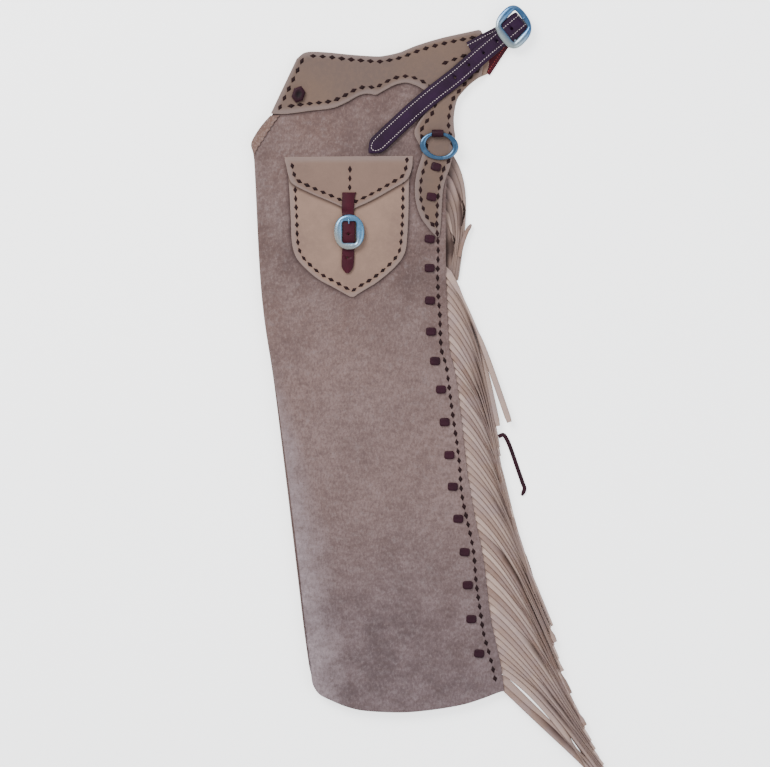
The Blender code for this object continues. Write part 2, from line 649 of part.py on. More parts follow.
def billet():
    """The billet comes from the far arm, turns over inside the buckle and lies on the yoke to its point."""
    half = STRAP_WIDTH / 2
    rows = [(a, d, float(yoke_top(a, d)) + lift) for a, d, lift in BILLET_TOP]
    top = line([*rows, *BILLET_REST], 3)
    under = line(BILLET_UNDER, 2)
    # The turn is a half circle that stands on its edge, from the top run's end to the under run's start.
    start, end = top[-1], under[0]
    nose = np.array(BILLET_NOSE)
    bend = []
    high, low = start[2], end[2] + STRAP_LEATHER
    for k in range(1, 6):
        angle = math.pi * k / 6
        share = math.sin(angle)
        base = start[:2] * (1 - k / 6) + end[:2] * k / 6
        plan = base + (nose + (2.0, -1.8) - base) * share
        bend.append((*plan, (high + low) / 2 + (high - low) / 2 * math.cos(angle)))
    middle = np.vstack([top, bend, under + (0, 0, STRAP_LEATHER)])
    along = unit(np.gradient(middle, axis=0))
    plan = np.column_stack([along[:, :2], np.zeros(len(along))])
    plan[len(top) :] *= -1
    turning = slice(len(top) - 1, len(top) + len(bend))
    plan[turning] = plan[len(top) - 2]
    side = unit(np.cross(unit(plan), (0, 0, 1.0)))
    width = np.full(len(middle), half)
    width[: len(BILLET_POINT)] *= BILLET_POINT
    thing = strap("belt_billet", middle, width, STRAP_LEATHER, "strap", side)
    cut_holes(thing, BILLET_HOLES, HOLE_RADIUS, 8.0, 22.0)


def chape():
    """The near strap from the slit in the yoke's arm, round the buckle's bar."""
    start, end = np.array(CHAPE_START), np.array(CHAPE_END)
    along = unit(end - start)
    rows = []
    for share in np.linspace(0, 0.78, 8):
        plan = start + (end - start) * share
        rest = float(yoke_top(*plan)) + 2 * GAP
        rows.append((*plan, rest if share < 0.5 else min(rest, CHAPE_LOW)))
    inner = BAR_RADIUS + CHAPE_CLEAR
    for k in range(0, 7):
        angle = math.pi / 2 - math.pi * k / 6
        plan = end + along * math.cos(angle) * inner
        rows.append((*plan, BAR_HEIGHT + inner * math.sin(angle)))
    rows.append((*(end - along * CHAPE_TAIL), BAR_HEIGHT - inner))
    middle = np.array(rows)
    side = np.tile([-along[1], along[0], 0.0], (len(middle), 1)) * -1
    half_widths = np.full(len(middle), STRAP_WIDTH / 2 - CHAPE_CLEAR)
    strap("belt_chape", middle, half_widths, STRAP_LEATHER, "strap", side)


def frame_ring(name, centre, turn, outer, window, shift, levels, power, count, stretch=(1.0, 1.0)):
    """A cast buckle frame: a rounded outer edge, a square-cornered window and a domed face."""
    along = np.array([math.cos(turn), -math.sin(turn)])
    beside = np.array([math.sin(turn), math.cos(turn)])
    low, high = levels

    def edge(half, exponent, offset, angle):
        c, s = math.cos(angle), math.sin(angle)
        radius = (abs(c / half[0]) ** exponent + abs(s / half[1]) ** exponent) ** (-1 / exponent)
        return np.array(centre) + (along * (radius * c + offset) + beside * radius * s) * stretch

    rings = []
    for k in range(count):
        angle = 2 * math.pi * (k + 0.5) / count
        o, i = edge(outer, power, 0, angle), edge(window, 8, shift, angle)
        ring = []
        for share, level in ((0.0, 0.3), (0.25, 1.0), (0.75, 0.9), (1.0, 0.3), (0.9, 0.0), (0.1, 0.0)):
            ring.append((*(o + (i - o) * share), low + (high - low) * level))
        rings.append(ring)
    return tube(name, rings, "metal", closed=True)


def rod(name, path, radius, kind, sides=6):
    """A round rod along a path."""
    p = np.array(path, float)
    along = unit(np.gradient(p, axis=0))
    rings = []
    for point, a in zip(p, along):
        side = unit(np.cross(a, (0.3, 0.1, 1.0)))
        up = np.cross(side, a)
        turns = [2 * math.pi * k / sides for k in range(sides)]
        rings.append([point + radius * (side * math.cos(t) + up * math.sin(t)) for t in turns])
    return tube(name, rings, kind)


def belt_buckle():
    turn = math.radians(BUCKLE_ANGLE)
    centre = np.array([BUCKLE_ACROSS, BUCKLE_DOWN])
    along = np.array([math.cos(turn), -math.sin(turn)])
    beside = np.array([math.sin(turn), math.cos(turn)])
    outer, window = (BUCKLE_LONG, BUCKLE_WIDE), (WINDOW_HALF, WINDOW_HALF)
    levels = (RIM_LOW, RIM_HIGH)
    frame_ring("belt_buckle", centre, turn, outer, window, WINDOW_SHIFT, levels, 2.6, 28, BUCKLE_STRETCH)
    chape_along = unit(np.array(CHAPE_END) - np.array(CHAPE_START))
    chape_side = np.array([-chape_along[1], chape_along[0]])
    end = np.array(CHAPE_END)
    reach = STRAP_WIDTH / 2 + BAR_OVERHANG
    post = RIM_LOW - GAP
    bar = [
        (*(end - chape_side * reach), post), (*(end - chape_side * reach), BAR_HEIGHT),
        (*(end + chape_side * reach), BAR_HEIGHT), (*(end + chape_side * reach), post),
    ]
    rod("belt_buckle_bar", bar, BAR_RADIUS, "metal")
    edge = WINDOW_HALF + WINDOW_SHIFT
    tongue = []
    for past, level in TONGUE:
        tongue.append((*(centre + along * (edge + past) + beside * TONGUE_BESIDE), level))
    rod("belt_tongue", tongue, TONGUE_RADIUS, "metal")


def pocket_pieces():
    on_panel("pocket", runs(POCKET, (0, 8), 2), 8, POCKET_LEATHER, "smooth", panel_top)
    plan = across_between(runs(FLAP, (0, 7), 2), 8)
    high = flap_top(plan[..., 0], plan[..., 1])
    wall("pocket_flap", lifted(plan, high), lifted(plan, high - POCKET_LEATHER), "smooth")

    def ground(across, down):
        share = np.clip((down - STRAP_STEP[0]) / STRAP_STEP[1], 0, 1)
        return flap_top(across, down) * (1 - share) + (pocket_top(across, down) + 0.6) * share

    table = line(POCKET_STRAP, 2)
    rows = [(a, d, float(ground(a, d)) + lift) for a, d, _, lift in table]
    strap("pocket_strap", rows, table[:, 2], STRAP_LEATHER, "oxblood")
    base = float(pocket_top(POCKET_BUCKLE_ACROSS, POCKET_BUCKLE_DOWN))
    levels = (base + POCKET_BUCKLE_LIFT, base + POCKET_BUCKLE_LIFT + POCKET_BUCKLE_THICK)
    centre = (POCKET_BUCKLE_ACROSS, POCKET_BUCKLE_DOWN)
    frame_ring("pocket_buckle", centre, 0.0, POCKET_BUCKLE_HALF, POCKET_WINDOW_HALF, 0.0, levels, 2.2, 24)
    top = POCKET_BUCKLE_DOWN - POCKET_WINDOW_HALF[1]
    level = levels[1] + POCKET_TONGUE_CLEAR
    tongue = [(POCKET_TONGUE_ACROSS, top + past, level + lift) for past, lift in POCKET_TONGUE]
    rod("pocket_tongue", tongue, POCKET_TONGUE_RADIUS, "metal")


def ring_and_loop():
    base = float(yoke_top(LOOP_ACROSS, LOOP_DOWN)) + GAP + LOOP_OUTER
    sides = 12
    rings = []
    for radius, half in ((LOOP_OUTER, -1), (LOOP_OUTER, 1), (LOOP_INNER, 1), (LOOP_INNER, -1)):
        across = LOOP_ACROSS + half * LOOP_LENGTH / 2
        turns = [2 * math.pi * (k + 0.5) / sides for k in range(sides)]
        rings.append([(across, LOOP_DOWN + radius * math.cos(t), base + radius * math.sin(t)) for t in turns])
    tube("ring_loop", rings, "oxblood", closed=True)
    # The oval hangs from the loop where its edge runs level.
    turn = math.radians(RING_TURN)
    start = math.atan2(-RING_SHORT * math.cos(turn), RING_LONG * math.sin(turn))
    count, tilt = 28, math.radians(RING_TILT)

    def place(angle, grow, level):
        u, w = (RING_LONG + grow) * math.cos(angle), (RING_SHORT + grow) * math.sin(angle)
        c, s = math.cos(turn), math.sin(turn)
        return np.array([u * c + w * s, w * c - u * s, level])

    hang = place(start, 0, 0)
    rings = []
    for k in range(count):
        angle = start + 2 * math.pi * k / count
        broad = RING_THICK + RING_AT_SIDES * math.sin(angle - start) ** 2
        broad += RING_AT_FOOT * math.sin((angle - start) / 2) ** 2
        ring = []
        for e in range(6):
            turned = 2 * math.pi * (e + 0.5) / 6
            p = place(angle, broad * math.cos(turned), RING_THICK * math.sin(turned)) - hang
            down = p[1] * math.cos(tilt) + p[2] * math.sin(tilt)
            up = p[2] * math.cos(tilt) - p[1] * math.sin(tilt)
            ring.append((LOOP_ACROSS + p[0], LOOP_DOWN + down, base + up))
        rings.append(ring)
    tube("tie_ring", rings, "metal", closed=True, origin=(LOOP_ACROSS, LOOP_DOWN, base))


def dome(name, across, down, half_long, half_wide, thick, turn, kind, under):
    """A pillow of leather: a thong's stitch or a knot."""
    sides = 8
    spread = [(across + x * half_long, down + y * half_wide) for x in (-1, 0, 1) for y in (-1, 0, 1)]
    base = max(float(under(*place)) for place in spread) + GAP
    rings = []
    for scale, level in ((0.92, 0.0), (1.0, 0.5), (0.7, 1.0)):
        ring = []
        for k in range(sides):
            angle = 2 * math.pi * (k + 0.5) / sides
            c, s = math.cos(angle), math.sin(angle)
            radius = (abs(c) ** 4 + abs(s) ** 4) ** -0.25 * scale
            x, y = half_long * radius * c, half_wide * radius * s
            t = math.radians(turn)
            ring.append((across + x * math.cos(t) - y * math.sin(t), down + x * math.sin(t) + y * math.cos(t),
                         base + thick * level))
        rings.append(ring)
    return tube(name, rings, kind)


def laces():
    for number, (across, down, turn) in enumerate(TIES, 1):
        under = yoke_top if number <= 2 else panel_top
        size = (TIE_HALF_LONG, TIE_HALF_WIDE, TIE_THICK)
        dome(f"side_tie_{number}", across, down, *size, turn, "oxblood", under)
    dome("front_lace_knot", *KNOT, "oxblood", yoke_top)
    ends = (("loose_lace_end", LACE_END, "oxblood"), ("stray_tie_end", STRAY_END, "fringe"))
    for name, table, kind in ends:
        rows = line(table, 2)
        width = np.full(len(rows), LACE_WIDTH / 2)
        width[-1] = LACE_WIDTH / 4
        strap(name, rows, width, LACE, kind)


def main():
    for thing in list(bpy.data.objects):
        bpy.data.objects.remove(thing)
    bpy.context.scene.collection.objects.link(bpy.data.objects.new(GARMENT, None))
    hidden_layers()
    near_leg()
    on_panel("near_yoke", runs(YOKE, YOKE_CORNERS, 2), 6, YOKE_LEATHER, "smooth", panel_top)
    plan = across_between(runs(FAR_ARM, (0, 4), 1), 4)
    wall("far_yoke_arm", lifted(plan, FAR_ARM_LOW + YOKE_LEATHER), lifted(plan, FAR_ARM_LOW), "smooth")
    on_panel("pinked_facing", runs(FACING, (0, 5), 3), 3, POCKET_LEATHER, "smooth", panel_top)
    pocket_pieces()
    fringes()
    billet()
    chape()
    belt_buckle()
    ring_and_loop()
    laces()


main()
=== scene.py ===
"""Suede riding chaps, folded in half at the centre front and lying on a pale floor, seen from above."""

import math

import bpy
import numpy as np
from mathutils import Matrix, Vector

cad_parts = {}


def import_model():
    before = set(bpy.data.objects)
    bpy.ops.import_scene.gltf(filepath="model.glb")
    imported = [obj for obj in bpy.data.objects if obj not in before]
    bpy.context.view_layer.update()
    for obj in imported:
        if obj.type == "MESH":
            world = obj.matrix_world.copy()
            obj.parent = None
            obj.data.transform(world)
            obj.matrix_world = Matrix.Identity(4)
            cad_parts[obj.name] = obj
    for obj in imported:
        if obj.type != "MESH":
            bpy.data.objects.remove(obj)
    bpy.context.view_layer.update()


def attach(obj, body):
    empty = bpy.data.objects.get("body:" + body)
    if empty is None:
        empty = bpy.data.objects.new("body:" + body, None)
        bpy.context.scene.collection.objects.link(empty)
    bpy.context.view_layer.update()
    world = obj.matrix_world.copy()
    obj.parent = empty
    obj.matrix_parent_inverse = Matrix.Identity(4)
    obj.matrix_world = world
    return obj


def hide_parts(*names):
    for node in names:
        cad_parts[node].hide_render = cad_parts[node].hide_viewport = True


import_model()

# Garment frame: tables are in millimetres, across from the waist's front corner and down from the waist
MM = 0.001
MIDDLE_ACROSS = 203.5
MIDDLE_DOWN = 509.7
GAP = 0.3
LAID_GAP = 0.4

# Leather
SUEDE = 2.0
YOKE_LEATHER = 2.6
POCKET_LEATHER = 1.8
STRAP_LEATHER = 2.2
FOLD_RADIUS = 4.2
SLOPE_WIDTH = 34.0
SLOPE_DROP = 2.4
CREASE_WIDTH = 9.0

# Belt
STRAP_WIDTH = 27.0
BUCKLE_CENTRE = (309.6, -40.6)
BUCKLE_ANGLE = 42.0
BUCKLE_HALF = (25.5, 26.6)
WINDOW_HALF = 15.4
WINDOW_SHIFT = 1.6
BUCKLE_STRETCH = (0.93, 1.12)  # across, down
RIM_LOW = 14.8
RIM_HIGH = 18.6
BAR_RADIUS = 1.5
BAR_HEIGHT = 7.3
BAR_OVERHANG = 4.6

# Fringe
NEAR_WIDTH = 8.6
FAR_WIDTH = 5.8
STRAND_THICK = 1.6
STRAND_CLEAR = 0.6

# Ring and its loop
LOOP_ACROSS = 199.5
LOOP_DOWN = 114.2
LOOP_LENGTH = 17.0
LOOP_INNER = 3.6
LOOP_OUTER = 5.4
RING_LONG = 23.9
RING_SHORT = 17.6
RING_THICK = 2.0
RING_TURN = -8.5
RING_TILT = 3.0
RING_AT_SIDES = 2.0
RING_AT_FOOT = 0.75

LEG_TOP = [  # across, down
    (-1.5, 7.5), (8.7, 1.5), (34.8, 0.5), (68.0, 4.0), (113.0, 7.0),
    (146.5, 1.0), (168.0, -8.0), (197.0, -17.0), (214.0, -21.0),
]
LEG_LEFT = [  # across, down
    (-1.5, 7.5), (-42.0, 86.4), (-60.2, 106.7), (-69.8, 121.6), (-71.4, 131.4), (-67.8, 145.0),
    (-65.3, 181.0), (-55.8, 355.0), (-39.2, 471.0), (-21.0, 616.0), (-3.6, 761.0), (5.1, 834.0),
    (13.1, 892.0),
]
LEG_HEM = [  # across, down
    (13.1, 892.0), (17.2, 908.0), (22.5, 920.5), (30.5, 928.7), (44.4, 935.5), (66.7, 944.8),
    (94.3, 951.0), (145.0, 953.4), (187.0, 950.3), (233.5, 942.8), (263.9, 933.7), (288.6, 924.4),
    (296.2, 922.8),
]
LEG_RIGHT = [  # across, down
    (214.0, -21.0), (217.0, 36.0), (216.5, 123.0), (215.5, 160.0), (211.7, 197.0), (211.5, 258.0),
    (211.7, 300.0), (212.6, 341.0), (216.5, 423.0), (223.0, 449.5), (229.0, 487.0), (238.5, 568.0),
    (243.6, 612.0), (253.8, 670.0), (263.9, 718.0), (269.5, 758.0), (275.8, 812.0), (283.0, 847.0),
    (291.0, 884.0), (296.2, 922.8),
]
PILE = [  # down, at the left edge, crown, at the right edge
    (-30.0, 8.5, 0.5, 8.5), (60.0, 10.0, 1.5, 9.5), (130.0, 14.0, 2.5, 13.4), (180.0, 16.2, 4.0, 13.4),
    (300.0, 16.8, 5.0, 13.4), (600.0, 16.8, 5.0, 13.4), (820.0, 16.4, 3.8, 13.4), (955.0, 15.6, 1.2, 13.4),
]
WRAP = [  # down, how much of a half turn the panel's left edge makes round the fold
    (-30.0, 0.15), (125.0, 0.15), (165.0, 1.0), (955.0, 1.0),
]
CREASE = [  # down, how far in from the fold the long soft crease runs, its height
    (330.0, 24.0, 0.0), (520.0, 30.0, 1.1), (720.0, 44.0, 1.3), (860.0, 46.0, 0.9), (930.0, 40.0, 0.2),
]
LAYERS = [  # left share, left inset, right share, right inset, hem share, hem inset
    (1.00, 9.0, 1.000, 11.6, 1.00, 3.6), (0.93, 6.4, 0.810, 11.4, 0.82, 3.3),
    (0.62, 5.6, 0.800, 1.2, 0.80, 1.4), (0.55, 5.2, 0.640, 1.1, 0.64, 1.4),
    (0.515, 3.6, 0.610, 2.8, 0.61, 2.9), (0.46, 1.7, 0.575, 0.9, 0.575, 1.1),
    (0.38, 0.6, 0.422, 0.9, 0.42, 1.0), (0.28, 0.3, 0.415, 11.2, 0.41, 3.2),
    (0.18, 0.6, 0.195, 11.2, 0.20, 3.2), (0.08, 1.6, 0.185, 0.8, 0.19, 0.9),
    (0.00, 3.8, 0.000, 1.1, 0.00, 1.4),
]
YOKE = [  # outer across, outer down, inner across, inner down
    (-4.9, 4.8, -42.6, 84.7), (8.4, -4.6, -20.3, 85.1), (34.8, -4.8, 13.0, 80.9), (68.2, -1.5, 46.4, 76.9),
    (90.0, 0.3, 66.1, 69.2), (113.1, 1.5, 84.1, 59.2), (123.0, 0.4, 97.2, 55.8), (133.4, -1.5, 110.5, 58.0),
    (146.5, -5.2, 123.8, 50.2), (168.2, -14.1, 139.2, 42.5), (197.2, -23.2, 154.9, 39.9),
    (223.3, -29.7, 170.5, 44.7), (261.6, -38.1, 181.5, 51.3), (266.5, -27.6, 186.0, 61.0),
    (268.3, -4.4, 187.0, 71.0), (263.3, 29.4, 182.7, 82.7), (248.5, 40.6, 174.0, 94.3),
    (237.5, 51.6, 168.2, 104.4), (228.2, 64.5, 166.0, 110.2), (223.6, 86.7, 167.2, 118.2),
    (223.6, 105.1, 173.6, 130.5), (225.5, 117.5, 178.4, 142.1), (222.6, 137.8, 174.0, 155.7),
    (217.5, 161.8, 169.1, 172.0), (211.7, 178.4, 166.5, 191.4), (207.4, 195.8, 168.2, 214.6),
    (205.6, 220.4, 175.9, 236.4), (204.2, 245.9, 189.2, 254.5), (202.3, 262.5, 198.7, 264.6),
]
YOKE_CORNERS = (0, 7, 12, 15, 21, 28)
FAR_ARM = [  # outer across, outer down, inner across, inner down
    (221.0, -27.0, 221.0, 60.0), (240.0, -31.0, 240.0, 46.0), (260.0, -33.0, 258.0, 33.0),
    (269.0, -20.0, 270.5, 27.3), (274.5, 11.0, 270.6, 26.8),
]
FAR_ARM_LOW = 3.0
FACING = [  # outer across, outer down, inner across, inner down
    (-43.2, 87.6, -29.9, 87.4), (-52.8, 98.2, -38.8, 100.0), (-61.2, 109.6, -48.3, 114.6),
    (-69.4, 123.8, -58.6, 130.5), (-70.2, 133.0, -63.0, 137.8), (-67.4, 142.8, -65.6, 143.6),
]
POCKET = [  # left across, left down, right across, right down
    (-18.1, 159.5, 160.2, 159.5), (-16.0, 182.7, 158.0, 182.7), (-13.0, 237.8, 157.2, 229.1),
    (-12.0, 265.9, 155.2, 265.9), (-8.4, 286.2, 151.5, 288.0), (0.0, 301.2, 138.6, 306.7),
    (23.9, 323.4, 112.8, 328.9), (49.9, 337.9, 88.7, 343.7), (73.2, 351.0, 78.3, 351.0),
]
FLAP = [  # left across, left down, right across, right down
    (-22.3, 148.2, 163.6, 146.6), (-21.3, 155.0, 163.2, 155.0), (-19.4, 162.4, 162.1, 163.9),
    (-16.0, 176.9, 155.2, 180.8), (-9.3, 188.2, 134.9, 193.9), (16.5, 201.3, 107.2, 209.5),
    (42.5, 212.3, 89.9, 217.8), (68.9, 224.2, 75.4, 224.2),
]
FLAP_STEP = (151.0, 7.0)
STRAP_STEP = (222.0, 6.0)
TIES = [  # across, down, turn in degrees
    (197.2, 162.4, 15.0), (190.7, 205.9, 10.0), (188.0, 266.8, 8.0), (187.9, 308.9, 0.0),
    (188.5, 356.0, 2.0), (190.0, 401.0, 0.0), (195.8, 443.7, 2.0), (204.5, 485.0, 0.0),
    (209.8, 532.2, -2.0), (216.5, 580.0, 0.0), (221.6, 625.8, 2.0), (229.4, 672.4, 3.0),
    (238.8, 720.7, 4.0), (243.2, 768.5, 0.0), (248.4, 817.8, 0.0), (259.8, 867.8, 5.0),
]
TIE_HALF = (7.3, 5.9)
TIE_THICK = 2.4
KNOT = (-2.2, 57.3, 8.6, 11.0, 6.0, 18.0)  # across, down, half long, half wide, thick, turn in degrees
BILLET_TOP = [  # across, down, lift above what it lies on
    (99.8, 142.3, 0.4), (113.1, 129.8, 0.4), (139.2, 105.1, 0.5), (165.7, 80.5, 0.6),
    (194.3, 56.3, 0.6), (224.8, 32.6, 1.2),
]
BILLET_REST = [  # across, down, height of its underside
    (245.1, 15.0, 12.6), (266.1, -3.6, 12.5), (283.0, -18.0, 11.9), (290.5, -24.4, 11.8),
    (302.0, -34.2, 12.0), (311.0, -41.8, 12.3), (317.0, -46.9, 11.6),
]
BILLET_NOSE = (319.6, -49.1)
BILLET_UNDER = [  # across, down, height of its underside
    (315.0, -46.0, 0.6), (303.0, -33.0, 0.4), (290.4, -18.3, 0.4), (277.0, 1.8, 0.4), (264.5, 20.5, 0.4),
]
BILLET_HOLES = [  # across, down
    (224.8, 32.6), (245.1, 14.6), (266.1, -3.0), (285.7, -20.3), (307.0, -38.4),
]
HOLE_RADIUS = 2.1
TONGUE = [  # past the window's edge, height
    (-1.2, RIM_LOW + 1.0), (0.7, RIM_HIGH + 2.3), (3.5, RIM_HIGH + 1.9),
]
CHAPE_START = (247.5, -7.5)
CHAPE_END = (303.6, -37.3)
CHAPE_LOW = 8.8
POCKET_STRAP = [  # across, down, half width, lift above the flap or the pocket
    (71.5, 200.0, 10.2, 0.4), (70.5, 206.0, 9.2, 0.4), (69.8, 216.0, 8.9, 0.5), (69.6, 229.0, 8.7, 0.9),
    (70.6, 238.0, 8.7, 2.6), (71.0, 245.0, 8.7, 4.2), (71.0, 266.0, 8.7, 4.2), (70.6, 273.0, 8.7, 2.4),
    (70.0, 285.0, 8.9, 0.8), (69.4, 300.0, 8.9, 0.6), (69.0, 309.0, 7.8, 0.6), (68.9, 316.5, 2.6, 0.6),
]
POCKET_STRAP_HOLES = [(68.8, 294.2), (70.2, 260.4)]  # across, down
POCKET_BUCKLE = (71.6, 257.5)
POCKET_BUCKLE_HALF = (21.8, 25.4)
POCKET_WINDOW_HALF = (10.3, 15.6)
POCKET_BUCKLE_LIFT = 7.0
POCKET_BUCKLE_THICK = 3.4
POCKET_TONGUE = [  # below the window's top edge, lift
    (4.0, 0.4), (0.0, 0.3), (-3.4, 0.0),
]
NEAR_COMB = [  # root down, leaving, hanging, length
    (309.0, 56.0, 71.0, 243.0), (320.0, 48.0, 78.0, 232.0), (335.0, 45.5, 79.5, 234.0),
    (355.0, 43.5, 80.0, 236.0), (470.0, 42.0, 77.0, 234.0),
    (572.0, 40.0, 71.5, 240.0), (616.0, 39.0, 66.5, 244.0), (717.0, 39.0, 66.5, 244.0),
    (761.0, 38.0, 60.5, 246.0), (805.0, 38.0, 57.5, 246.0), (848.0, 40.0, 52.3, 246.0),
    (879.0, 32.0, 53.5, 247.0), (891.0, 31.0, 56.0, 245.0), (901.0, 44.0, 44.6, 254.0),
    (921.0, 44.5, 43.5, 256.0),
]
FAR_COMB = [  # root down, leaving, hanging, length
    (140.0, 50.0, 98.0, 192.0), (191.0, 54.0, 97.0, 138.0), (242.0, 64.0, 93.0, 82.0),
    (345.0, 46.0, 79.0, 214.0), (470.0, 44.0, 76.0, 214.0), (572.0, 40.0, 69.5, 218.0),
    (717.0, 38.0, 64.0, 224.0), (805.0, 38.0, 56.0, 226.0), (880.0, 30.0, 55.5, 226.0),
    (908.0, 45.0, 44.0, 240.0),
]
TUCKED_ROOTS = (140.0, 157.0, 174.0, 191.0, 208.0, 225.0, 242.0)
STRIP_NEAR = (9.0, 10.8)
STRIP_FAR = (2.3, 4.1)
STRIP_OUTER_INSET = 1.6
STRIP_INNER_INSET = 9.6
STRIP_END_INSET = 5.0
STRIP_NARROWS = 885.0
LACE_END = [  # across, down, height of its underside
    (288.0, 553.5, 5.8), (295.2, 551.0, 5.2), (300.8, 558.4, 3.2), (307.1, 573.5, 0.5),
    (315.2, 597.0, 0.5), (323.4, 620.6, 0.5), (326.2, 629.5, 0.5), (322.4, 639.5, 0.5),
]
STRAY_END = [  # across, down, height of its underside
    (231.0, 292.0, 7.0), (236.0, 272.0, 6.6), (242.0, 256.0, 6.2), (248.5, 245.0, 4.2),
]
RIGHT_ROW = [  # across, down: the stitches down the yoke's back edge and the outseam
    (257.5, 22.5), (247.7, 31.2), (239.0, 41.8), (230.1, 52.5), (221.7, 63.7), (218.1, 75.4), (215.9, 88.5),
    (215.3, 100.6), (216.8, 111.7), (220.0, 124.7), (220.8, 139.2), (216.2, 152.3), (209.4, 162.4),
    (205.6, 175.5), (202.3, 187.5), (200.5, 200.4), (198.7, 226.2), (198.1, 248.0), (200.0, 269.7),
    (200.1, 294.4), (199.4, 321.9), (200.8, 355.3), (202.6, 374.1), (204.7, 424.9), (211.7, 449.5),
    (216.9, 487.2), (220.4, 514.8), (230.0, 581.5), (234.5, 636.6), (242.9, 677.2), (251.4, 719.2),
    (255.5, 765.6), (261.0, 804.0), (266.4, 839.6), (272.6, 861.3), (277.5, 880.2), (282.8, 904.1),
]
YOKE_TIP_DOWN = 262.0
CHAPE_ROW = [(210.7, 10.9), (223.6, 5.8), (237.0, 0.5)]  # across, down
FLAP_ROW = [(72.5, 166.2), (72.4, 178.7), (72.1, 192.6)]  # across, down
LACE_WIDTH = 6.0
LACE = 1.6

# Picture: millimetres to a pixel, and where its middle lies
PIXEL = 1.45
PICTURE_WIDTH = 770
PICTURE_MIDDLE = (123.25, 476.3)
CAMERA_HEIGHT = 4.0
SENSOR = 36.0


# Shapes
def line(points, steps):
    """A smooth line through the points, with that many steps between neighbours."""
    p = np.array(points, float)
    ends = np.vstack([2 * p[0] - p[1], p, 2 * p[-1] - p[-2]])
    rows = []
    for i in range(1, len(ends) - 2):
        a, b, c, d = ends[i - 1 : i + 3]
        for t in np.arange(steps) / steps:
            bend = (2 * a - 5 * b + 4 * c - d) * t**2 + (3 * b - a - 3 * c + d) * t**3
            rows.append(0.5 * (2 * b + (c - a) * t + bend))
    rows.append(p[-1])
    return np.array(rows)


def travelled(points):
    """How far along a line each of its points is."""
    return np.concatenate([[0], np.cumsum(np.linalg.norm(np.diff(points, axis=0), axis=1))])


def at_places(points, places):
    """Points of a line at shares of its length."""
    along = travelled(points[:, :2])
    columns = [np.interp(places * along[-1], along, column) for column in points.T]
    return np.stack(columns, axis=1)


def runs(table, corners, steps):
    """Rows of a table smoothed between its corners."""
    out = []
    for first, last in zip(corners[:-1], corners[1:]):
        out.extend(line(table[first : last + 1], steps)[: None if last == corners[-1] else -1])
    return np.array(out)


def close_at_ends(count, length, thick):
    """Shares from 0 to 1 with two lines close to each end, where an edge is rounded."""
    close = np.array([0.0, 0.25, 0.6]) * thick / length
    inner = np.linspace(1.2 * thick / length, 1 - 1.2 * thick / length, count)
    return np.concatenate([close, inner, 1 - close[::-1]])


def patch(top, bottom, left, right, s, t):
    """A grid of plan points between four sides, given at the shares s and t."""
    s, t = s[None, :, None], t[:, None, None]
    ruled = (1 - t) * top[None] + t * bottom[None] + (1 - s) * left[:, None] + s * right[:, None]
    return ruled - (1 - t) * ((1 - s) * top[0] + s * top[-1]) - t * ((1 - s) * bottom[0] + s * bottom[-1])


FINE_LEFT = line(LEG_LEFT, 6)
FINE_RIGHT = line(LEG_RIGHT, 6)
SIDE_STEPS = 10
YOKE_SIDES = runs(YOKE, YOKE_CORNERS, SIDE_STEPS)
POCKET_SIDES = runs(POCKET, (0, 8), SIDE_STEPS)
FLAP_SIDES = runs(FLAP, (0, 7), SIDE_STEPS)


def all_round(sides):
    """Both sides of a panel as one line, down its left and up its right."""
    return np.vstack([sides[:, 0:2], sides[::-1, 2:4]])


def by_down(table, down, column):
    rows = np.array(table)
    return np.interp(down, rows[:, 0], rows[:, column])


def eased(table, down, column):
    """A table's column, with its kinks rounded off."""
    return sum(by_down(table, down + k, column) for k in (-30.0, -15.0, 0.0, 15.0, 30.0)) / 5


def leg_left(down):
    return np.interp(down, FINE_LEFT[:, 1], FINE_LEFT[:, 0])


def leg_right(down):
    return np.interp(down, FINE_RIGHT[:, 1], FINE_RIGHT[:, 0])


def panel_top(across, down):
    """Height of the near leg panel's top face, and of the ground beside it for what runs past it."""
    left, right = leg_left(down), leg_right(down)
    share = np.clip((across - left) / (right - left), 0, 1)
    height = (1 - share) * eased(PILE, down, 1) + share * eased(PILE, down, 3)
    height = height + eased(PILE, down, 2) * 4 * share * (1 - share)
    offset = (across - left - by_down(CREASE, down, 1)) / CREASE_WIDTH
    height = height + by_down(CREASE, down, 2) * np.exp(-(offset**2))
    past = np.clip((across - right) / SLOPE_WIDTH, 0, 1)
    return height - past * past * (3 - 2 * past) * SLOPE_DROP


def yoke_top(across, down):
    return panel_top(across, down) + LAID_GAP + YOKE_LEATHER


def pocket_top(across, down):
    return panel_top(across, down) + LAID_GAP + POCKET_LEATHER


def flap_top(across, down):
    rise = np.clip((down - FLAP_STEP[0]) / FLAP_STEP[1], 0, 1)
    return pocket_top(across, down) + rise * (GAP + POCKET_LEATHER)


def lifted(plan, height):
    return np.concatenate([plan, np.broadcast_to(height, plan.shape[:2])[..., None]], axis=2)


def unit(v):
    return v / np.maximum(np.linalg.norm(v, axis=-1, keepdims=True), 1e-9)


def world(points):
    p = np.array(points, float).reshape(-1, 3)
    return np.stack([p[:, 0] - MIDDLE_ACROSS, MIDDLE_DOWN - p[:, 1], p[:, 2]], axis=1) * MM


def placed(name, data):
    """A new object in the scene, at the origin."""
    made = bpy.data.objects.new(name, data)
    bpy.context.scene.collection.objects.link(made)
    return made


def stands_for(piece, slot, *nodes):
    """Hides these nodes, which the piece is shown in place of. The piece and the slot are not used."""
    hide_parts(*nodes)


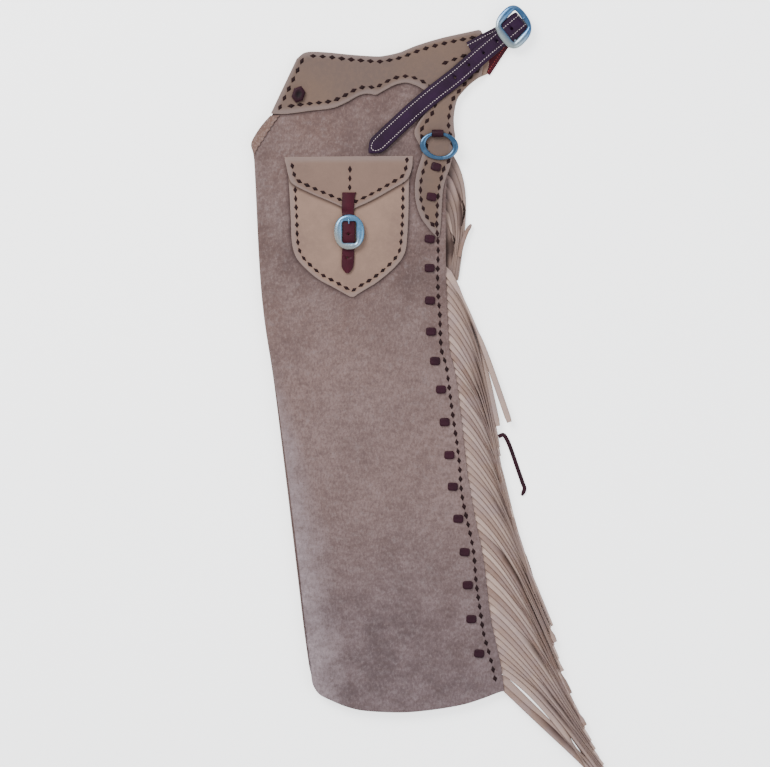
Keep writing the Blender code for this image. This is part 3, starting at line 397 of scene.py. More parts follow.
def sew(name, points, faces, finish, body="chaps", marks=None, sharp=50.0):
    """A piece at the origin from points in millimetres, with its faces pointing out."""
    mesh = bpy.data.meshes.new(name)
    mesh.from_pydata(world(points).tolist(), [], faces)
    mesh.validate()
    mesh.calc_loop_triangles()
    spots = np.array([v.co for v in mesh.vertices])
    corners = spots[np.array([t.vertices for t in mesh.loop_triangles])]
    if np.einsum("ij,ij->i", corners[:, 0], np.cross(corners[:, 1], corners[:, 2])).sum() < 0:
        mesh.flip_normals()
    for mark, values in (marks or {}).items():
        layer = mesh.attributes.new(mark, "FLOAT", "POINT")
        layer.data.foreach_set("value", np.array(values, np.float32))
    mesh.materials.append(finish)
    mesh.shade_smooth()
    mesh.set_sharp_from_angle(angle=math.radians(sharp))
    piece = placed(name, mesh)
    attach(piece, body)
    return piece


def border(rows, columns):
    """Index pairs round a grid, once round."""
    top = [(0, j) for j in range(columns)]
    right = [(i, columns - 1) for i in range(1, rows)]
    bottom = [(rows - 1, j) for j in range(columns - 2, -1, -1)]
    left = [(i, 0) for i in range(rows - 2, 0, -1)]
    return top + right + bottom + left


def hide(name, upper, lower, finish, rims=(), marks=None, **more):
    """A closed piece of leather between two grids. Its mark called rim is 1 on the cut edge."""
    rows, columns = upper.shape[:2]
    under = rows * columns
    points = [upper.reshape(-1, 3), lower.reshape(-1, 3)]
    index = np.arange(under).reshape(rows, columns)
    quads = np.stack([index[:-1, :-1], index[1:, :-1], index[1:, 1:], index[:-1, 1:]], axis=-1).reshape(-1, 4)
    faces = [tuple(q) for q in quads.tolist()] + [tuple(q) for q in (quads[:, ::-1] + under).tolist()]
    loop = border(rows, columns)
    rings = [[i * columns + j for i, j in loop]]
    count = 2 * under
    for rim in rims:
        rings.append(list(range(count, count + len(rim))))
        points.append(np.array(rim))
        count += len(rim)
    rings.append([under + k for k in rings[0]])
    for high, low in zip(rings[:-1], rings[1:]):
        for k in range(len(loop)):
            n = (k + 1) % len(loop)
            faces.append((high[k], high[n], low[n], low[k]))
    edge = np.zeros(count)
    edge[rings[0]] = 0.8
    edge[2 * under :] = 1.0
    edge[rings[-1]] = 1.0
    given = {"rim": edge}
    for mark, values in (marks or {}).items():
        flat = values.reshape(-1)
        given[mark] = np.concatenate([flat, flat, np.zeros(count - 2 * under)])
    return sew(name, np.vstack(points), faces, finish, marks=given, **more)


def from_edge(plan):
    """Distance of each grid point from the nearest side."""
    steps_down = np.linalg.norm(np.diff(plan, axis=0), axis=2)
    steps_across = np.linalg.norm(np.diff(plan, axis=1), axis=2)
    down = np.vstack([np.zeros((1, plan.shape[1])), np.cumsum(steps_down, axis=0)])
    across = np.hstack([np.zeros((plan.shape[0], 1)), np.cumsum(steps_across, axis=1)])
    return np.minimum(np.minimum(down, down[-1:] - down), np.minimum(across, across[:, -1:] - across))


def rounding(distance, thick):
    """How far a face drops near its cut edge."""
    reach = thick * 0.6
    left = np.clip(1 - distance / reach, 0, 1)
    return thick * 0.22 * (1 - np.sqrt(np.clip(1 - left**2, 0, 1)))


def laid(name, plan, low, thick, finish, marks=None, **more):
    """A piece of leather that lies on what is under it, with its cut edges rounded off."""
    drop = rounding(from_edge(plan), thick)
    upper = lifted(plan, low + thick - drop)
    lower = lifted(plan, low + drop * 0.5)
    loop = border(*plan.shape[:2])
    middle = [(*plan[i, j], (upper[i, j, 2] + lower[i, j, 2]) / 2) for i, j in loop]
    return hide(name, upper, lower, finish, [middle], marks, **more)


def stations_grid(rows, count_down, count_across, thick, wave=None):
    """A grid of plan points between the two sides of smoothed stations."""
    middle = (rows[:, 0:2] + rows[:, 2:4]) / 2
    along = travelled(middle)
    places = close_at_ends(count_down, along[-1], thick)
    picked = np.stack([np.interp(places * along[-1], along, rows[:, k]) for k in range(4)], axis=1)
    if wave is not None:
        picked = wave(picked, places * along[-1])
    broad = np.median(np.linalg.norm(picked[:, 0:2] - picked[:, 2:4], axis=1))
    share = close_at_ends(count_across, broad, thick)[None, :, None]
    return (1 - share) * picked[:, None, 0:2] + share * picked[:, None, 2:4]


def ring_faces(rings, start=0, closed=False):
    """Faces between rings of points, with the ends capped or joined to each other."""
    sides, count = len(rings[0]), len(rings)
    faces = []
    for i in range(count if closed else count - 1):
        a, b = start + i * sides, start + (i + 1) % count * sides
        for k in range(sides):
            n = (k + 1) % sides
            faces.append((a + k, a + n, b + n, b + k))
    if not closed:
        faces.append(tuple(range(start, start + sides))[::-1])
        faces.append(tuple(range(start + (count - 1) * sides, start + count * sides)))
    return faces


def band(name, rings, finish, closed=False, marks=None, **more):
    """A solid through rings of points."""
    return sew(name, np.vstack(rings), ring_faces(rings, 0, closed), finish, marks=marks, **more)


# Finishes
def linear(*colour):
    """A colour read off from 0 to 255, as the shader's numbers."""
    out = []
    for c in colour:
        c = c / 255
        out.append(c / 12.92 if c <= 0.04045 else ((c + 0.055) / 1.055) ** 2.4)
    return (*out, 1.0)


def add_node(tree, kind, inputs=None, **settings):
    """A node in a tree, with its settings made and each input given a value or a link."""
    made = tree.nodes.new(kind)
    for key, value in settings.items():
        setattr(made, key, value)
    for key, value in (inputs or {}).items():
        if hasattr(value, "is_output"):
            tree.links.new(value, made.inputs[key])
        else:
            made.inputs[key].default_value = value
    return made


class Finish:
    """A material's nodes, with short calls for the ones used here."""

    def __init__(self, name, roughness, **constants):
        self.material = bpy.data.materials.new(name)
        self.material.use_nodes = True
        self.tree = self.material.node_tree
        self.shader = self.tree.nodes["Principled BSDF"]
        self.shader.inputs["Roughness"].default_value = roughness
        for socket, value in constants.items():
            self.shader.inputs[socket.replace("_", " ")].default_value = value
        self.place = self.node("ShaderNodeTexCoord").outputs["Object"]

    def node(self, kind, inputs=None, **settings):
        return add_node(self.tree, kind, inputs, **settings)

    def stretched(self, x, y, z, turn=0.0):
        made = self.node("ShaderNodeMapping", {"Vector": self.place, "Scale": (x, y, z)})
        made.inputs["Rotation"].default_value = (0, 0, math.radians(turn))
        return made.outputs["Vector"]

    def noise(self, scale, detail=3.0, roughness=0.55, vector=None):
        inputs = {"Vector": vector or self.place, "Scale": scale, "Detail": detail, "Roughness": roughness}
        return self.node("ShaderNodeTexNoise", inputs).outputs["Fac"]

    def ramp(self, value, low, high, low_out=0.0, high_out=1.0):
        inputs = {"Value": value, "From Min": low, "From Max": high, "To Min": low_out, "To Max": high_out}
        return self.node("ShaderNodeMapRange", inputs).outputs["Result"]

    def mix(self, share, one, two):
        return self.node("ShaderNodeMix", {0: share, 6: one, 7: two}, data_type="RGBA").outputs[2]

    def add(self, one, two, operation="ADD"):
        return self.node("ShaderNodeMath", {0: one, 1: two}, operation=operation).outputs[0]

    def times(self, one, two):
        return self.add(one, two, "MULTIPLY")

    def marked(self, base, name, share, colour):
        """Another colour where the piece's own mark of that name says."""
        return self.mix(self.times(self.mark(name), share), base, linear(*colour))

    def mark(self, name):
        return self.node("ShaderNodeAttribute", attribute_name=name).outputs["Fac"]

    def down(self, low, high):
        """0 at the first place below the waist and 1 at the second, in millimetres down."""
        split = self.node("ShaderNodeSeparateXYZ", {"Vector": self.place})
        return self.ramp(split.outputs["Y"], (MIDDLE_DOWN - low) * MM, (MIDDLE_DOWN - high) * MM)

    def finish(self, colour, height=None, depth=0.0002, strength=0.6, roughness=None):
        self.tree.links.new(colour, self.shader.inputs["Base Color"])
        if roughness is not None:
            self.tree.links.new(roughness, self.shader.inputs["Roughness"])
        if height is not None:
            bump = self.node("ShaderNodeBump", {"Height": height, "Distance": depth, "Strength": strength})
            self.tree.links.new(bump.outputs["Normal"], self.shader.inputs["Normal"])
        return self.material


def suede_finish():
    f = Finish("suede", 0.97, Specular_IOR_Level=0.1)
    cloud = f.noise(6.0, 5.0, 0.62)
    blotch = f.noise(24.0, 5.0, 0.66)
    mottle = f.noise(95.0, 5.0, 0.7)
    felt = f.noise(1.0, 4.0, 0.7, f.stretched(330, 190, 200, -28))
    nap = f.noise(620.0, 3.0, 0.7)
    brushed = f.noise(1.0, 4.0, 0.6, f.stretched(60, 150, 60, 35))
    base = f.mix(f.ramp(cloud, 0.36, 0.62), linear(81, 66, 64), linear(106, 84, 78))
    base = f.mix(f.ramp(blotch, 0.44, 0.66, 0.0, 0.7), base, linear(120, 102, 99))
    # Greyer and bluer towards the hem: painted cool sky light on the lower leg.
    cool = f.mix(f.ramp(blotch, 0.38, 0.66), linear(88, 76, 79), linear(118, 103, 107))
    base = f.mix(f.ramp(f.down(350, 930), 0.0, 1.0, 0.0, 0.75), base, cool)
    middle = f.times(f.ramp(f.down(330, 470), 0.0, 1.0), f.ramp(f.down(640, 820), 0.0, 1.0, 1.0, 0.0))
    base = f.mix(f.times(middle, 0.5), base, linear(134, 111, 106))
    base = f.mix(f.ramp(mottle, 0.44, 0.62, 0.0, 0.4), base, linear(80, 67, 68))
    base = f.mix(f.ramp(mottle, 0.5, 0.34, 0.0, 0.35), base, linear(120, 108, 109))
    # The pale mark: the nap's own lighter tone and painted light along the fold.
    pale = f.times(f.mark("pale"), f.ramp(blotch, 0.34, 0.62, 0.35, 1.0))
    base = f.mix(pale, base, linear(146, 132, 136))
    base = f.mix(f.ramp(brushed, 0.46, 0.7, 0.0, 0.3), base, linear(82, 66, 62))
    base = f.mix(f.ramp(felt, 0.46, 0.66, 0.0, 0.42), base, linear(74, 60, 58))
    base = f.mix(f.ramp(felt, 0.46, 0.3, 0.0, 0.3), base, linear(134, 118, 116))
    base = f.mix(f.ramp(nap, 0.35, 0.75, 0.0, 0.3), base, linear(66, 54, 52))
    # The shade mark is painted shadow along the edges of the pocket and the yoke.
    base = f.marked(base, "shade", 0.6, (52, 40, 40))
    base = f.marked(base, "rim", 0.5, (66, 51, 48))
    height = f.add(f.noise(1400.0, 2.0, 0.7), f.times(brushed, 1.5))
    height = f.add(f.add(height, felt), f.times(mottle, 3.0))
    return f.finish(base, height, 0.0005, 0.8)


def smooth_finish(name, light, dark, spot, edge=(150, 128, 118), pits=0.0):
    """Smooth leather, greyer along its cut edges, and pitted all over where it is thin facing leather."""
    f = Finish(name, 0.68, Specular_IOR_Level=0.14)
    cloud = f.noise(9.0, 4.0, 0.6)
    fleck = f.noise(160.0, 4.0, 0.6)
    pore = f.noise(900.0, 2.0, 0.6)
    base = f.mix(f.ramp(cloud, 0.38, 0.62), linear(*dark), linear(*light))
    base = f.mix(f.ramp(fleck, 0.45, 0.75, 0.0, 0.4), base, linear(*spot))
    base = f.mix(f.ramp(pore, 0.55, 0.8, 0.0, 0.18), base, linear(66, 50, 42))
    base = f.marked(base, "border", 0.45, (118, 104, 102))
    # The shade mark is painted shadow along the edges of what lies over the leather.
    base = f.marked(base, "shade", 0.75, (52, 38, 34))
    cells = f.node("ShaderNodeTexVoronoi", {"Vector": f.place, "Scale": 330.0}).outputs["Distance"]
    base = f.mix(f.ramp(cells, 0.2, 0.6, 0.0, pits), base, linear(78, 54, 46))
    # The rim mark takes the edge colour: a cut edge's own colour, and on the facing painted shadow.
    base = f.marked(base, "rim", 0.75, edge)
    height = f.add(f.add(pore, f.times(cells, -3.0 * pits)), f.times(fleck, 2.0))
    return f.finish(base, height, 0.00015, 0.5, f.ramp(cloud, 0.3, 0.7, 0.62, 0.74))


def fringe_finish():
    f = Finish("fringe leather", 0.8, Specular_IOR_Level=0.12)
    streak = f.noise(42.0, 4.0, 0.6)
    fine = f.noise(700.0, 3.0, 0.65)
    base = f.mix(f.mark("tone"), linear(122, 98, 88), linear(172, 149, 138))
    base = f.mix(f.ramp(streak, 0.42, 0.66, 0.0, 0.55), base, linear(142, 124, 124))
    base = f.mix(f.ramp(fine, 0.4, 0.75, 0.0, 0.25), base, linear(96, 74, 66))
    # The rim mark is painted shade: dark gaps and slits between strands, and strands lying in shadow beneath
    # or tucked behind.
    base = f.marked(base, "rim", 0.92, (42, 28, 26))
    return f.finish(base, fine, 0.00018, 0.5)


def strap_finish(name, colour, light, edge, rough):
    f = Finish(name, rough, Specular_IOR_Level=0.12)
    cloud = f.noise(40.0, 4.0, 0.6)
    pore = f.noise(800.0, 3.0, 0.6)
    base = f.mix(f.ramp(cloud, 0.35, 0.7), linear(*colour), linear(*light))
    base = f.mix(f.ramp(pore, 0.55, 0.8, 0.0, 0.35), base, linear(14, 5, 10))
    base = f.marked(base, "rim", 0.9, edge)
    roughness = f.ramp(cloud, 0.3, 0.7, rough - 0.06, rough + 0.08)
    return f.finish(base, f.add(pore, cloud), 0.00012, 0.5, roughness)


def metal_finish(name, centre, reach, blue, pale):
    """Polished steel out of doors, with a painted reflection: its upper right is painted with a blue sky, and
    its lower left with a pale wall.
    """
    f = Finish(name, 0.24, Metallic=0.9)
    normal = f.node("ShaderNodeNewGeometry").outputs["Normal"]
    facing = f.node("ShaderNodeSeparateXYZ", {"Vector": normal}).outputs
    place = f.node("ShaderNodeSeparateXYZ", {"Vector": f.place}).outputs
    x, y, _ = world([(*centre, 0.0)])[0]
    reach = reach * MM
    # Painted reflection: where the surface faces and where it lies decide between sky blue and wall pale.
    lean = f.add(f.times(facing["Y"], 0.5), f.times(facing["X"], 0.4))
    lean = f.add(lean, f.ramp(place["X"], x - reach, x + reach, -0.4, 0.4))
    lean = f.add(lean, f.ramp(place["Y"], y - reach, y + reach, -0.6, 0.6))
    colour = f.mix(f.ramp(lean, -0.75, 0.15), linear(*pale), linear(*blue))
    smear = f.noise(120.0, 3.0, 0.6)
    colour = f.mix(f.ramp(smear, 0.5, 0.75, 0.0, 0.2), colour, linear(130, 150, 168))
    return f.finish(colour, smear, 0.00005, 0.2, f.ramp(smear, 0.3, 0.7, 0.2, 0.32))


def thread_finish(name, colour, dark):
    f = Finish(name, 0.7)
    twist = f.noise(1500.0, 2.0, 0.6)
    return f.finish(f.mix(f.ramp(twist, 0.4, 0.7), linear(*dark), linear(*colour)), twist, 0.0001, 0.4)


SUEDE_FINISH = suede_finish()
YOKE_FINISH = smooth_finish("yoke leather", (95, 77, 67), (87, 72, 66), (102, 81, 70))
# The arm's cut edge is painted near white: its raw edge's own paleness and painted sunlight on it.
ARM_FINISH = smooth_finish("raw edged leather", (124, 102, 88), (110, 90, 80), (128, 106, 92),
                           (226, 208, 192))
# The facing's cut edge is painted dark: painted shadow under its pinked teeth.
FACING_FINISH = smooth_finish("facing leather", (122, 93, 79), (101, 81, 74), (134, 101, 83),
                              (58, 44, 40), 0.6)
POCKET_FINISH = smooth_finish("pocket leather", (127, 103, 90), (113, 91, 81), (134, 109, 95))
FLAP_FINISH = smooth_finish("flap leather", (109, 88, 78), (99, 80, 72), (114, 92, 81))
FRINGE_FINISH = fringe_finish()
BELT_FINISH = strap_finish("belt leather", (28, 9, 30), (37, 15, 42), (12, 4, 11), 0.55)
LACE_FINISH = strap_finish("oxblood lace", (32, 8, 19), (43, 13, 26), (9, 3, 5), 0.55)
POCKET_STRAP_FINISH = strap_finish("oxblood strap", (46, 8, 20), (58, 12, 26), (20, 4, 8), 0.5)
# A sunlit copy of the belt leather, painted light, for the strap past the buckle.
SUNLIT_STRAP_FINISH = strap_finish("belt leather in the sun", (92, 16, 32), (108, 26, 42), (40, 7, 16), 0.5)
BUCK_FINISH = strap_finish("dark lace", (22, 8, 10), (32, 14, 16), (10, 3, 4), 0.7)
# These steels' colours are painted reflections of a blue sky and a pale wall.
BELT_STEEL = metal_finish("belt buckle steel", BUCKLE_CENTRE, 30.0, (58, 92, 128), (150, 160, 158))
POCKET_STEEL = metal_finish("pocket buckle steel", POCKET_BUCKLE, 24.0, (84, 126, 158), (148, 150, 146))
RING_STEEL = metal_finish("ring steel", (199.5, 131.0), 90.0, (54, 84, 112), (74, 98, 122))
THREAD_FINISH = thread_finish("white thread", (226, 216, 214), (176, 160, 160))
RED_THREAD_FINISH = thread_finish("red thread", (214, 84, 70), (150, 48, 46))


# Panels
PALE_BAND = [  # down, how broad the paler band along the fold is
    (430.0, 10.0), (560.0, 26.0), (700.0, 46.0), (900.0, 50.0),
]


def leg_plan(s, t, inset=None):
    """The leg's outline as a grid, with its left side moved in by the fold."""
    left = at_places(line(LEG_LEFT, 8), t)
    if inset is not None:
        along = unit(np.gradient(left, axis=0))
        inward = np.stack([along[:, 1], -along[:, 0]], axis=1)
        left = left + inward * inset(left[:, 1])[:, None]
    top = at_places(line([left[0], *LEG_TOP[1:]], 8), s)
    hem = at_places(line([left[-1], *LEG_HEM[1:]], 8), s)
    return patch(top, hem, left, at_places(line(LEG_RIGHT, 8), t), s, t)


def near_leg():
    """The suede that shows, a panel that rolls round the inseam's fold."""

    def turn(down):
        return eased(WRAP, down, 1) * math.pi

    def inset(down):
        return FOLD_RADIUS * np.sin(np.minimum(turn(down), math.pi / 2))

    t = close_at_ends(300, 980.0, SUEDE)
    s = np.concatenate([np.linspace(0, 0.985, 100), 1 - np.array([1.2, 0.6, 0.25, 0]) * SUEDE / 280])
    plan = leg_plan(s, t, inset)
    across, down = plan[..., 0], plan[..., 1]
    height = panel_top(across, down)
    edge = from_edge(plan)
    along = np.linalg.norm(plan - plan[:, -1:], axis=2)
    near_edge = np.minimum(along, np.minimum(np.abs(down - plan[:1, :, 1]), np.abs(down - plan[-1:, :, 1])))
    drop = rounding(near_edge, SUEDE)
    outward = unit(plan[:, 0] - plan[:, 1])
    folds = 12
    outer, inner = [], []
    for k in range(folds):
        angle = turn(plan[:, 0, 1]) * (1 - k / folds)
        for rows, radius in ((outer, FOLD_RADIUS), (inner, FOLD_RADIUS - SUEDE)):
            side = plan[:, 0] + outward * (radius * np.sin(angle))[:, None]
            rows.append(np.column_stack([side, height[:, 0] - FOLD_RADIUS + radius * np.cos(angle)]))
    upper = np.concatenate([np.stack(outer, axis=1), lifted(plan, height - drop)], axis=1)
    lower = np.concatenate([np.stack(inner, axis=1), lifted(plan, height - SUEDE + drop * 0.5)], axis=1)
    # The band along the fold painted paler: the nap's own lighter tone, and painted light where the surface
    # turns at the crease.
    band_left = upper[..., 0] - leg_left(upper[..., 1])
    width = by_down(PALE_BAND, upper[..., 1], 1)
    pale = np.clip(1.2 - band_left / width, 0, 1) * np.clip((upper[..., 1] - 420) / 200, 0, 1) * 0.9
    # Painted shadow on the suede along the pocket's sides and the yoke's lower edge.
    edges = [
        (POCKET_SIDES[:, 0:2] - (0.8, 0), 3.4), (POCKET_SIDES[:, 2:4] + (0.8, 0.8), 3.4),
        (YOKE_SIDES[:, 2:4] + (0.0, 1.0), 3.0),
    ]
    marks = {"pale": pale, "shade": painted_shadow(upper[..., :2], edges)}
    panel = hide("near_leg_suede", upper, lower, SUEDE_FINISH, marks=marks)
    stands_for(panel, "suede", "near_leg_panel")


def hidden_legs():
    """The near leg's inner side and the whole far leg, with their layers showing at the edges."""
    rows, columns = 120, 30
    s, t = np.linspace(0, 1, columns + 1), np.linspace(0, 1, rows + 1)
    plan = leg_plan(s, t)
    loop = border(rows + 1, columns + 1)
    edge = np.array([plan[i, j] for i, j in loop])
    before, after = np.roll(edge, 1, axis=0), np.roll(edge, -1, axis=0)
    along = unit(unit(edge - before) + unit(after - edge))
    inward = np.stack([-along[:, 1], along[:, 0]], axis=1)
    sides = []
    for i, j in loop:
        left, right, ends = j == 0, j == columns, i in (0, rows)
        total = left + right + ends
        sides.append((left / total, right / total, ends / total))
    sides = np.array(sides)
    height = panel_top(edge[:, 0], edge[:, 1]) - SUEDE - LAID_GAP
    rims = []
    for left_share, left_inset, right_share, right_inset, hem_share, hem_inset in LAYERS:
        share = sides @ (left_share, right_share, hem_share)
        inset = sides @ (left_inset, right_inset, hem_inset)
        rims.append(np.column_stack([edge + inward * inset[:, None], share * height]))

    def fill(rim):
        top = rim[: columns + 1]
        right = rim[columns : columns + rows + 1]
        bottom = rim[columns + rows : 2 * columns + rows + 1][::-1]
        left = np.vstack([rim[2 * columns + rows :], rim[:1]])[::-1]
        return patch(top[:, :2], bottom[:, :2], left[:, :2], right[:, :2], s, t)

    upper_plan, lower_plan = fill(rims[0]), fill(rims[-1])
    upper = lifted(upper_plan, panel_top(upper_plan[..., 0], upper_plan[..., 1]) - SUEDE - 2 * GAP)
    for (i, j), point in zip(loop, rims[0]):
        upper[i, j, 2] = min(upper[i, j, 2], point[2])
    piece = hide("hidden_legs", upper, lifted(lower_plan, 0.0), SUEDE_FINISH, rims[1:-1])
    stands_for(piece, "suede", "hidden_layers")


def bordered(plan):
    """1 along a panel's cut edge, fading to 0 where its row of stitches runs."""
    return {"border": np.clip(1.6 - from_edge(plan) / 6.0, 0, 1)}


def painted_shadow(plan, edges):
    """1 along the edges of what lies on a panel: painted shadow that those pieces cast on it."""
    shade = np.zeros(plan.shape[:2])
    for edge, reach in edges:
        fine = at_places(np.array(edge, float), np.linspace(0, 1, 600))
        for i, row in enumerate(plan):
            apart = np.linalg.norm(row[:, None] - fine[None], axis=2).min(axis=1)
            shade[i] = np.maximum(shade[i], np.exp(-((apart / reach) ** 2)))
    return shade


def panel(name, plan, under, thick, finish, node, rests_on, marks=None):
    """A smooth leather panel laid on what is under it, with its edge marked."""
    low = under(plan[..., 0], plan[..., 1]) + LAID_GAP
    piece = laid(name, plan, low, thick, finish, marks={**bordered(plan), **(marks or {})})
    stands_for(piece, "smooth_leather", node)


def pinked(picked, along):
    """The facing's inner edge with its pinked teeth."""
    tooth = np.abs((along / 8.0) % 1.0 - 0.5) * 2 - 0.5
    away = unit(picked[:, 2:4] - picked[:, 0:2])
    room = np.clip(np.linalg.norm(picked[:, 2:4] - picked[:, 0:2], axis=1) / 12, 0, 1)
    picked[:, 2:4] += away * (tooth * 1.9 * room)[:, None]
    return picked


def leather_panels():
    on_leg = ["near_leg_suede"]
    yoke = stations_grid(YOKE_SIDES, 150, 26, YOKE_LEATHER)
    panel("front_yoke", yoke, panel_top, YOKE_LEATHER, YOKE_FINISH, "near_yoke", on_leg)
    arm = stations_grid(runs(FAR_ARM, (0, 4), 8), 30, 16, YOKE_LEATHER)
    piece = laid("back_yoke_arm", arm, FAR_ARM_LOW, YOKE_LEATHER, ARM_FINISH)
    stands_for(piece, "smooth_leather", "far_yoke_arm")
    facing = stations_grid(runs(FACING, (0, 5), 20), 90, 6, POCKET_LEATHER, pinked)
    panel("crotch_facing", facing, panel_top, POCKET_LEATHER, FACING_FINISH, "pinked_facing", on_leg)
    body = stations_grid(POCKET_SIDES, 120, 84, POCKET_LEATHER)
    # Painted shadow on the pocket body along the flap's edge.
    shadow_under_flap = {"shade": painted_shadow(body, [(all_round(FLAP_SIDES) + (0.3, 1.4), 2.6)])}
    panel("pocket_body", body, panel_top, POCKET_LEATHER, POCKET_FINISH, "pocket", on_leg, shadow_under_flap)
    flap = stations_grid(FLAP_SIDES, 40, 60, POCKET_LEATHER)
    low = flap_top(flap[..., 0], flap[..., 1]) - POCKET_LEATHER
    piece = laid("pocket_flap_leather", flap, low, POCKET_LEATHER, FLAP_FINISH, marks=bordered(flap))
    stands_for(piece, "smooth_leather", "pocket_flap")


# Fringe
STRAND_SECTION = [  # share of the half width, share of the thickness, painted shade, painted shade below a slit
    (1.0, -0.5, 0.8, 0.0), (-1.0, -0.5, 0.7, 0.0), (-1.0, 0.5, 0.4, 0.0), (-0.72, 0.5, 0.0, 0.0),
    (0.05, 0.5, 0.0, 0.55), (0.72, 0.5, 0.05, 1.0), (1.0, 0.5, 0.85, 1.0),
]
ROOT_CORNERS = (0, 1, 2, 6)
NEAR_ROOTS = (309.0, 914.0, 52)  # down, from and to, how many
FAR_ROOTS = (352.0, 908.0, 20)  # down, from and to, how many
NEAR_LEVEL = 10.8
FAR_LEVEL = 3.2
NEAR_STEPS = 28
FAR_STEPS = 24
SLITS = (0.0, 1.25, 0.0, 0.2, 0.0, 1.35, 0.1, 0.0, 1.1, 0.0, 0.0, 0.9, 0.15)
SLIT_PLACES = (0.5, 0.42, 0.6, 0.34, 0.56, 0.46, 0.66)
SLIT_LENGTH = 0.16
NEAR_FLARE = 0.3
FLOOR_CLEAR = 0.2
# Painted shade: on the far strands under the near fringe, on the tucked strands behind the seam, darkest on a
# tucked strand's lower side.
FAR_SHADE = 0.3
TUCKED_SHADE = 0.3
TUCKED_SIDE_SHADE = 0.95
TUCKED_SPREAD = 4.3
TUCKED_ROLL = -0.11


def slit(number, share):
    """How far a strand's lower edge curls in, where a slit opens under it and the strand below is painted
    dark as shade.
    """
    if number < 0:
        return 0.0
    place = SLIT_PLACES[number % len(SLIT_PLACES)]
    return SLITS[number % len(SLITS)] * math.exp(-(((share - place) / SLIT_LENGTH) ** 2))


def strand_line(root, leaving, hanging, length, steps):
    """Plan points of a strand that leaves the seam and bends down under its comb."""
    at = np.linspace(0, 1, steps * 4 + 1)
    angle = np.radians(hanging - (hanging - leaving) * (1 - at) ** 3)
    middle = (angle[1:] + angle[:-1]) / 2
    step = length / (steps * 4)
    across = root[0] + np.concatenate([[0], np.cumsum(np.cos(middle))]) * step
    down = root[1] + np.concatenate([[0], np.cumsum(np.sin(middle))]) * step
    return np.column_stack([across, down])[::4], angle[::4]


